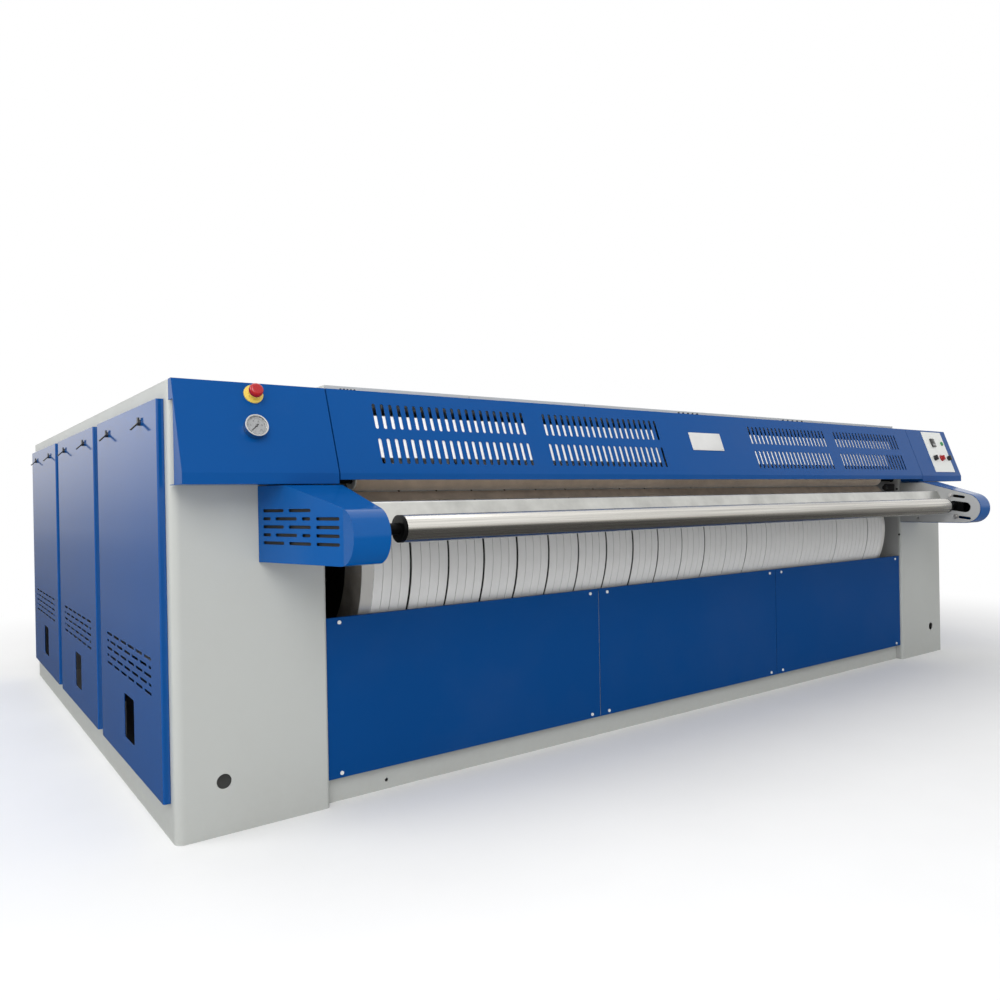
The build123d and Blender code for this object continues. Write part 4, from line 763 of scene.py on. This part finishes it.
class IRONER_OT_controls(bpy.types.Operator):
    """Stop button, gauge with its dial and window, control plate with its display, and rings round two
    selectors
    """
    bl_idname = "ironer.controls"
    bl_label = "Controls"

    # Degrees: the dial's lowest mark, and one of its 30 steps.
    lowest, step = 225, 9
    # Metres: radius of the numbers' ring and of the marks' outer ends, and height of the print
    # and of the pointer over the hood's face.
    number_ring, mark_end, print_lift, pointer_lift = 0.0165, 0.0268, 0.0156, 0.0164

    def execute(self, context):
        paint_nodes(["emergency_stop_base"], plastic("Yellow plastic", (0.80, 0.60, 0.12), 0.3))
        red = plastic("Red plastic", (0.40, 0.009, 0.012), 0.22)
        black = plastic("Black plastic", (0.018, 0.018, 0.019), 0.3)
        paint_nodes(["emergency_stop_head", "selector_2"], red)
        paint_nodes(["selector_1", "selector_3"], black)
        paint_nodes(["start_button"], plastic("Green plastic", (0.01, 0.25, 0.06), 0.25))
        paint_nodes(["gauge_case"], steel("Gauge steel", (0.70, 0.70, 0.69), 0.16, 2500.0))
        paint_nodes(["control_plate"], paint("Plate enamel", (0.80, 0.82, 0.79), 0.30, amount=0.05))
        self.gauge(black)
        self.display(black)
        self.rings(red)
        return {"FINISHED"}

    def gauge(self, black):
        """Dial with its marks and numbers, under a window."""
        middle = x, up = on_face("gauge_case")
        bm = bmesh.new()
        spun_on_face(bm, middle, [(0.0, 0.0154), (0.0280, 0.0154), (0.0285, 0.0151), (0.0, 0.0151)])
        face_piece("gauge_dial", bm, plastic("Dial white", (0.42, 0.43, 0.44), 0.35), "frame")
        bm = bmesh.new()
        for i in range(31):
            inner, width = (0.0240, 0.0005) if i % 6 else (0.0222, 0.0011)
            self.mark(bm, middle, math.radians(self.lowest - i * self.step), inner, width)
        for i, number in enumerate(("0", "2", "4", "6", "8", "10")):
            angle = math.radians(self.lowest - i * 6 * self.step)
            lettering(bm, number, 0.0078, (x + self.number_ring * math.cos(angle),
                                           up + self.number_ring * math.sin(angle), self.print_lift))
        face_piece("gauge_marks", bm, black, "frame")
        bm = bmesh.new()
        spun_on_face(bm, middle, [(0.0, 0.0206), (0.0287, 0.0206), (0.0287, 0.0214), (0.0, 0.0214)])
        face_piece("gauge_window", bm, glass("Gauge window"), "frame")
        self.needle(middle, black)

    def needle(self, middle, black):
        """Tapered pointer with a short tail on a domed hub, at rest on the lowest mark."""
        bm = bmesh.new()
        shape = [(0.0215, -0.0004), (0.0215, 0.0004), (0.0, 0.0019), (-0.0080, 0.0023), (-0.0080, -0.0023),
                 (0.0, -0.0019)]
        turn = Matrix.Rotation(math.radians(self.lowest), 4, "Z")
        cut_sheet(bm, shape, 0.0010, Matrix.Translation((*middle, self.pointer_lift)) @ turn)
        spun_on_face(bm, middle, [(0.0012, 0.0157), (0.0034, 0.0157), (0.0034, 0.0176), (0.0024, 0.0183),
                                  (0.0012, 0.0184), (0.0012, 0.0157)], 24)
        pointer = face_piece("gauge_pointer", bm, black, "gauge_needle")
        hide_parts("gauge_needle")

    def mark(self, bm, middle, angle, inner, width):
        """A thin mark that points at the dial's middle, out to its edge."""
        verts = bmesh.ops.create_cube(bm, size=1.0)["verts"]
        bmesh.ops.scale(bm, vec=(self.mark_end - inner, width, 0.0001), verts=verts)
        bmesh.ops.translate(bm, vec=((self.mark_end + inner) / 2, 0, self.print_lift), verts=verts)
        bmesh.ops.rotate(bm, cent=(0, 0, 0), matrix=Matrix.Rotation(angle, 3, "Z"), verts=verts)
        bmesh.ops.translate(bm, vec=(*middle, 0), verts=verts)

    def display(self, black):
        """Small black display with a dark window and three keys."""
        plate_x, plate_up = on_face("control_plate")
        x, up = plate_x - 0.026, plate_up + 0.0545
        bm = bmesh.new()
        rounded_block(bm, (x - 0.020, up - 0.025, 0.002), (x + 0.020, up + 0.025, 0.010), 0.0015)
        face_piece("display_case", bm, black, "frame")
        bm = bmesh.new()
        rounded_block(bm, (x - 0.016, up - 0.002, 0.0098), (x + 0.016, up + 0.021, 0.0104), 0.0002)
        screen = plastic("Display window", (0.010, 0.016, 0.013), 0.06)
        face_piece("display_window", bm, screen, "frame")
        bm = bmesh.new()
        for k in (-1, 0, 1):
            key = x + k * 0.0115
            rounded_block(bm, (key - 0.0042, up - 0.019, 0.0098), (key + 0.0042, up - 0.0085, 0.0112), 0.0005)
        face_piece("display_keys", bm, plastic("Key grey", (0.42, 0.43, 0.43), 0.4), "frame")

    def rings(self, red):
        """Rings round the first two selectors."""
        bright = steel("Ring steel", (0.75, 0.75, 0.74), 0.22, 2500.0)
        for number, material, slot in ((1, bright, "plate_silver"), (2, red, "red_plastic")):
            bm = bmesh.new()
            spun_on_face(bm, on_face(f"selector_{number}"), [
                (0.0150, 0.0020), (0.0185, 0.0020), (0.0190, 0.0025), (0.0185, 0.0040), (0.0155, 0.0040),
                (0.0150, 0.0035), (0.0150, 0.0020)])
            face_piece(f"selector_ring_{number}", bm, material, "frame")


class IRONER_OT_hood_fittings(bpy.types.Operator):
    """Pale lining behind the vents, whose white is painted light seen through them, and a blank plate on the
    hood's front
    """
    bl_idname = "ironer.hood_fittings"
    bl_label = "Hood fittings"

    # Start and end along the machine, and top and bottom down the front, in metres.
    lining = ((-1.600, -0.319, 0.082, 0.223), (0.270, 1.490, 0.082, 0.140), (0.270, 1.400, 0.140, 0.223))
    plate = (-0.115, 0.085, 0.087, 0.167)

    def execute(self, context):
        bm = bmesh.new()
        for x0, x1, top, bottom in self.lining:
            rounded_block(bm, (x0, -bottom, -0.0050), (x1, -top, -0.0035), 0.0003)
        # Painted light: the white lining stands for the bright light seen through the vents.
        pale = paint("Lining painted light white", (0.90, 0.90, 0.89), 0.5, amount=0.03)
        face_piece("hood_lining_painted_light", bm, pale, "hood")
        x0, x1, top, bottom = self.plate
        bm = bmesh.new()
        rounded_block(bm, (x0, -bottom, 0.0001), (x1, -top, 0.0021), 0.0008)
        for x in (x0 + 0.008, x1 - 0.008):
            for down in (top + 0.008, bottom - 0.008):
                spun_on_face(bm, (x, -down), [(0.0030, 0.0021), (0.0028, 0.0030), (0.0, 0.0033)], 16)
        silver = steel("Blank plate", (0.78, 0.78, 0.77), 0.35, 700.0, stain=0.1)
        face_piece("blank_plate", bm, silver, "hood")
        return {"FINISHED"}


class IRONER_OT_belts(bpy.types.Operator):
    """Endless cloth belts round each cylinder and its tension roller"""
    bl_idname = "ironer.belts"
    bl_label = "Ironing belts"

    # Gap between a belt and its wheels, and how far a belt's width varies either way, in metres.
    clearance, variation = 0.0003, 0.0003

    def execute(self, context):
        size = sizes()
        material = cloth("Belt cloth", colours().belt, 1100.0, 0.00008, 0.05)
        random.seed(7)
        made = [self.round_one_cylinder(i, size, material) for i in (1, 2, 3)]
        for belts in made:
            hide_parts("ironing_belts")
        return {"FINISHED"}

    def round_one_cylinder(self, number, size, material):
        """The belts of one cylinder: copies of one belt, each stretched to its own width."""
        start, end = belts_span()
        gaps = [(size.first_gap + i * size.group_pitch, gap) for i, gap in enumerate(WIDE_GAPS)]
        seams = [(start, 0.0), *gaps, (end, 0.0)]
        bm = bmesh.new()
        self.one_belt(bm, size.belt_thickness, f"cylinder_{number}", f"belt_roller_{number}")
        outward(bm)
        pattern = bm.verts[:] + bm.edges[:] + bm.faces[:]
        for (left, left_gap), (right, right_gap) in zip(seams, seams[1:]):
            left, right = left + left_gap / 2, right - right_gap / 2
            pitch = (right - left + size.belt_gap) / size.belts_in_group
            for k in range(size.belts_in_group):
                verts = verts_in(bmesh.ops.duplicate(bm, geom=pattern)["geom"])
                width = pitch - size.belt_gap + random.uniform(-self.variation, self.variation)
                bmesh.ops.scale(bm, vec=(width, 1, 1), verts=verts)
                bmesh.ops.translate(bm, vec=(left + k * pitch + width / 2, 0, 0), verts=verts)
        bmesh.ops.delete(bm, geom=verts_in(pattern), context="VERTS")
        return piece(f"belts_{number}", bm, material, "frame", 40.0)

    def one_belt(self, bm, thickness, drum_name, roll_name):
        """Takes a section of belt, 1 m wide, round the drum, across to the roller, round it and back."""
        drum, roll = middle_of(drum_name).yz, middle_of(roll_name).yz
        drum_radius = radius_of(drum_name) + self.clearance
        roll_radius = radius_of(roll_name) + self.clearance
        gap = Vector((0, *(roll - drum)))
        heading = math.atan2(gap.z, gap.y)
        lean = math.acos((drum_radius - roll_radius) / gap.length)
        out = Vector((0, math.cos(heading + lean), math.sin(heading + lean)))
        start = Vector((0, *drum)) + out * drum_radius
        half, soft, round_off = 0.5, thickness * 0.3, 0.025
        outline = [(-half, 0), (-half, thickness - soft), (-half + round_off, thickness),
                   (half - round_off, thickness), (half, thickness - soft), (half, 0)]
        verts = [bm.verts.new(start + Vector((x, 0, 0)) + out * lift) for x, lift in outline]
        edges = [bm.edges.new((verts[i - 1], verts[i])) for i in range(len(verts))]
        geom = self.round_wheel(bm, verts + edges, drum, 2 * math.pi - 2 * lean, 60)
        away = Vector((0, math.cos(heading - lean), math.sin(heading - lean))) * (roll_radius - drum_radius)
        geom = self.straight(bm, geom, gap + away)
        geom = self.round_wheel(bm, geom, roll, 2 * lean, 14)
        self.straight(bm, geom, out * (drum_radius - roll_radius) - gap)

    def round_wheel(self, bm, geom, centre, angle, steps):
        """Takes the section part of a turn round a wheel."""
        result = bmesh.ops.spin(bm, geom=geom, cent=(0, *centre), axis=(1, 0, 0), angle=angle, steps=steps,
                                use_merge=False, use_duplicate=False)
        return result["geom_last"]

    def straight(self, bm, geom, move):
        """Takes the section straight on."""
        edges = [item for item in geom if isinstance(item, bmesh.types.BMEdge)]
        result = bmesh.ops.extrude_edge_only(bm, edges=edges)["geom"]
        bmesh.ops.translate(bm, vec=move, verts=verts_in(result))
        return [item for item in result if not isinstance(item, bmesh.types.BMFace)]


class IRONER_OT_press_roller(bpy.types.Operator):
    """Cloth-wrapped press roller with its end discs and its shaft, and the block under it"""
    bl_idname = "ironer.press_roller"
    bl_label = "Press roller"

    # Where the wrapped part starts and ends along the machine, and its ripple, in metres.
    ends, ripple = (-1.600, 1.545), 0.0003

    def execute(self, context):
        low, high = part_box("press_roller")
        middle, radius = middle_of("press_roller"), radius_of("press_roller")
        left, right = self.ends
        bm = bmesh.new()
        profile = [(left + 0.002, 0.018), (left + 0.002, radius - 0.004), (left + 0.003, radius - 0.001)]
        profile += [(left + 0.006 + i * (right - left - 0.012) / 60, radius - self.ripple * (i % 2))
                    for i in range(61)]
        profile += [(right - 0.003, radius - 0.001), (right - 0.002, radius - 0.004), (right - 0.002, 0.018)]
        turned(bm, profile, middle.y, middle.z)
        outward(bm)
        wrap = piece("press_wrap", bm, cloth("Roller wrap", colours().wrap, 700.0, 0.0002, 0.2, 0.8),
                     "press_roller", 40.0)
        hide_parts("press_roller")
        bm = bmesh.new()
        for side, face in ((-1, left), (1, right)):
            turned(bm, [(face - side * 0.006, 0.0), (face - side * 0.006, radius - 0.0015),
                        (face - side * 0.001, radius - 0.0015), (face, radius - 0.0025), (face, 0.0)],
                   middle.y, middle.z)
        outward(bm)
        # Painted reflection: the end discs take a pale paint that stands for the light their steel faces
        # reflect.
        zinc = paint("End disc painted reflection", (0.82, 0.80, 0.77), 0.3, amount=0.05)
        discs = piece("press_end_discs", bm, zinc, "press_roller")
        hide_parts("press_roller")
        bm = bmesh.new()
        for side, face, end in ((-1, left, low.x), (1, right, high.x)):
            turned(bm, [(face - side * 0.001, 0.0), (face - side * 0.001, 0.0168),
                        (end - side * 0.002, 0.0168), (end, 0.015), (end, 0.0)], middle.y, middle.z, 32)
        outward(bm)
        shaft = piece("press_shaft", bm, blacked_steel("Press shaft"), "press_roller")
        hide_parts("press_roller")
        self.stop_block(middle)
        return {"FINISHED"}

    def stop_block(self, middle):
        """Black block on the right wall under the roller's shaft."""
        bm = bmesh.new()
        rounded_block(bm, (1.634, middle.y - 0.024, 0.939), (1.7125, middle.y - 0.004, 0.979), 0.004)
        pin = [(1.618, 0.0), (1.618, 0.010), (1.621, 0.013), (1.640, 0.013)]
        turned(bm, pin, middle.y - 0.014, 0.959, 24)
        outward(bm)
        black = plastic("Block black", (0.014, 0.014, 0.014), 0.35)
        piece("press_stop_block", bm, black, "frame")


class IRONER_OT_wall_fixings(bpy.types.Operator):
    """Bolts and dark plugs on the inner walls and the bracket plates; the plugs' near black is painted shade
    for the dark inside holes in the walls
    """
    bl_idname = "ironer.wall_fixings"
    bl_label = "Wall fixings"

    # Distance of the walls' inner faces from the middle, in metres.
    wall = 1.713
    # Places across the machine and above the floor, in metres.
    plugs = ((-1.2845, 0.696), (-1.2755, 0.950), (-1.2185, 0.961))
    bolts = ((-1.5615, 0.911), (-1.5895, 0.799))
    # Profiles of a plug and of a bolt's head: depth out of the wall and radius, in metres.
    plug_profile = ((0.0, 0.0), (0.0, 0.006), (0.0008, 0.006), (0.0016, 0.005), (0.0016, 0.0))
    bolt_profile = ((0.0, 0.0), (0.0, 0.0135), (0.002, 0.0135), (0.002, 0.010), (0.008, 0.0095),
                    (0.009, 0.008), (0.009, 0.0))

    def execute(self, context):
        steel_bolt = steel("Bolt steel", (0.62, 0.61, 0.60), 0.3, 2500.0, edge=0.0005)
        # Painted shade: near-black plugs stand for the dark inside holes in the walls.
        black = plastic("Hole shade black", (0.010, 0.010, 0.010), 0.4)
        for name, places, profile, steps, material, slot in (
                ("wall_hole_shade", self.plugs, self.plug_profile, 24, black, "black_plastic"),
                ("bracket_bolts", self.bolts, self.bolt_profile, 6, steel_bolt, "fixings")):
            bm = bmesh.new()
            for side in (-1, 1):
                shape = [(side * (self.wall - depth), radius) for depth, radius in profile]
                for y, z in places:
                    turned(bm, shape, y, z, steps)
            outward(bm)
            piece(name, bm, material, "frame")
        return {"FINISHED"}


class IRONER_OT_guards(bpy.types.Operator):
    """Near-black sheets in the bracket covers and plugs in the roof's vents, both painted shade for the dark
    behind the slots and inside the vents, and the felt guide at the first nip, whose brown is painted shade
    for belts in shade
    """
    bl_idname = "ironer.guards"
    bl_label = "Slot shade, vent shade and nip guide"

    # The near-black sheet behind the slots, in metres: its outline along the cover's side and above the
    # floor, where it starts at the post, and which way it runs.
    guard = ((0.006, 0.805), (0.372, 0.805), (0.372, 0.904), (0.262, 0.904), (0.250, 0.925), (0.006, 0.925))
    guard_start, guard_run = (1.915, -1.2935), (-0.100, -0.357)
    # The vents, in metres: the middle plug's place, the pitch and the radius for each lid, and
    # the lids' front face and the plugs' height.
    vents = ((-1.6145, 0.012, 0.0025), (-0.0035, 0.030, 0.005), (0.763, 0.039, 0.005))
    vent_front, vent_height = -1.2575, 1.289
    # The nip guide, in metres: Y and Z of its front and rear edges, and half its length.
    guide_front, guide_rear, guide_half = (-1.2505, 0.9362), (-1.2265, 0.9655), 1.600

    def execute(self, context):
        self.bracket_slot_shade()
        self.roof_vent_shade()
        self.nip_guide()
        return {"FINISHED"}

    def bracket_slot_shade(self):
        """A near-black sheet behind the slots of each cover, 7 mm inside its slanting side: painted shade for
        the dark inside the cover.
        """
        bm = bmesh.new()
        x, y = self.guard_start
        run_x, run_y = self.guard_run
        for side in (-1, 1):
            along = Vector((side * run_x, run_y, 0)).normalized()
            inward = Vector((-side, 0, 0)) - along * Vector((-side, 0, 0)).dot(along)
            place = axes_at((side * x, y, 0), along, Vector((0, 0, 1)), inward.normalized())
            cut_sheet(bm, self.guard, 0.0015, place)
        outward(bm)
        # Painted shade: the sheet's near black stands for the shade inside the cover, seen through its slots.
        black = plastic("Slot shade black", (0.004, 0.004, 0.004), 0.5)
        piece("bracket_slot_shade", bm, black, "frame")

    def roof_vent_shade(self):
        """Near-black plugs in the front vents of three lids, painted shade for the dark inside the vents."""
        bm = bmesh.new()
        for middle, pitch, radius in self.vents:
            profile = [(0.0, -0.0035), (radius + 0.0008, -0.0032), (radius + 0.0012, -0.0002),
                       (radius - 0.0004, 0.0), (radius - 0.0004, 0.003), (0.0, 0.003)]
            for k in range(-2, 3):
                x = middle + k * pitch
                spun(bm, [(x + out, self.vent_front + lift, self.vent_height) for out, lift in profile],
                     (x, self.vent_front, self.vent_height), (0, 1, 0), 16)
        outward(bm)
        # Painted shade: the plugs' near black stands for the dark inside the vents.
        piece("roof_vent_shade", bm, plastic("Vent shade black", (0.006, 0.006, 0.006), 0.5), "frame")

    def nip_guide(self):
        """Stiff felt-faced strip that leads from the table's rear edge up to the first nip; its brown is
        painted shade for the belts in shade under the press roller.
        """
        bm = bmesh.new()
        front, rear = Vector((0, *self.guide_front)), Vector((0, *self.guide_rear))
        up, across = (rear - front).normalized(), Vector((1, 0, 0))
        half, reach = self.guide_half, (rear - front).length
        place = axes_at(front, across, up, across.cross(up))
        cut_sheet(bm, [(-half, 0), (half, 0), (half, reach), (-half, reach)], 0.0012, place)
        outward(bm)
        # Painted shade: the felt's beige brown stands for the belts in shade between the press roller and the
        # table.
        felt_and_shade = cloth("Guide felt", colours().felt_and_shade, 500.0, 0.0001, 0.25)
        piece("nip_guide", bm, felt_and_shade, "frame")


class IRONER_PT_panel(bpy.types.Panel):
    """Settings and steps, in the order they run"""
    bl_idname = "IRONER_PT_panel"
    bl_label = "Ironer"
    bl_space_type = "VIEW_3D"
    bl_region_type = "UI"
    bl_category = "Ironer"

    def draw(self, context):
        for settings in (colours(), sizes(), stage_settings()):
            for name in settings.bl_rna.properties.keys():
                if name not in {"rna_type", "name"}:
                    self.layout.prop(settings, name)
        for step in STEPS:
            self.layout.operator(step.bl_idname)


STEPS = (
    IRONER_OT_stage, IRONER_OT_cabinets, IRONER_OT_blue_panels, IRONER_OT_metalwork,
    IRONER_OT_controls, IRONER_OT_hood_fittings, IRONER_OT_belts, IRONER_OT_press_roller,
    IRONER_OT_wall_fixings, IRONER_OT_guards,
)
CLASSES = (IronerColours, IronerSizes, IronerStage) + STEPS + (IRONER_PT_panel,)


def register():
    for cls in CLASSES:
        bpy.utils.register_class(cls)
    bpy.types.Scene.ironer_colours = bpy.props.PointerProperty(type=IronerColours)
    bpy.types.Scene.ironer_sizes = bpy.props.PointerProperty(type=IronerSizes)
    bpy.types.Scene.ironer_stage = bpy.props.PointerProperty(type=IronerStage)


def unregister():
    del bpy.types.Scene.ironer_stage
    del bpy.types.Scene.ironer_sizes
    del bpy.types.Scene.ironer_colours
    for cls in reversed(CLASSES):
        bpy.utils.unregister_class(cls)


def main():
    register()
    for step in STEPS:
        group_name, step_name = step.bl_idname.split(".")
        getattr(getattr(bpy.ops, group_name), step_name)()


if __name__ == "__main__":
    main()
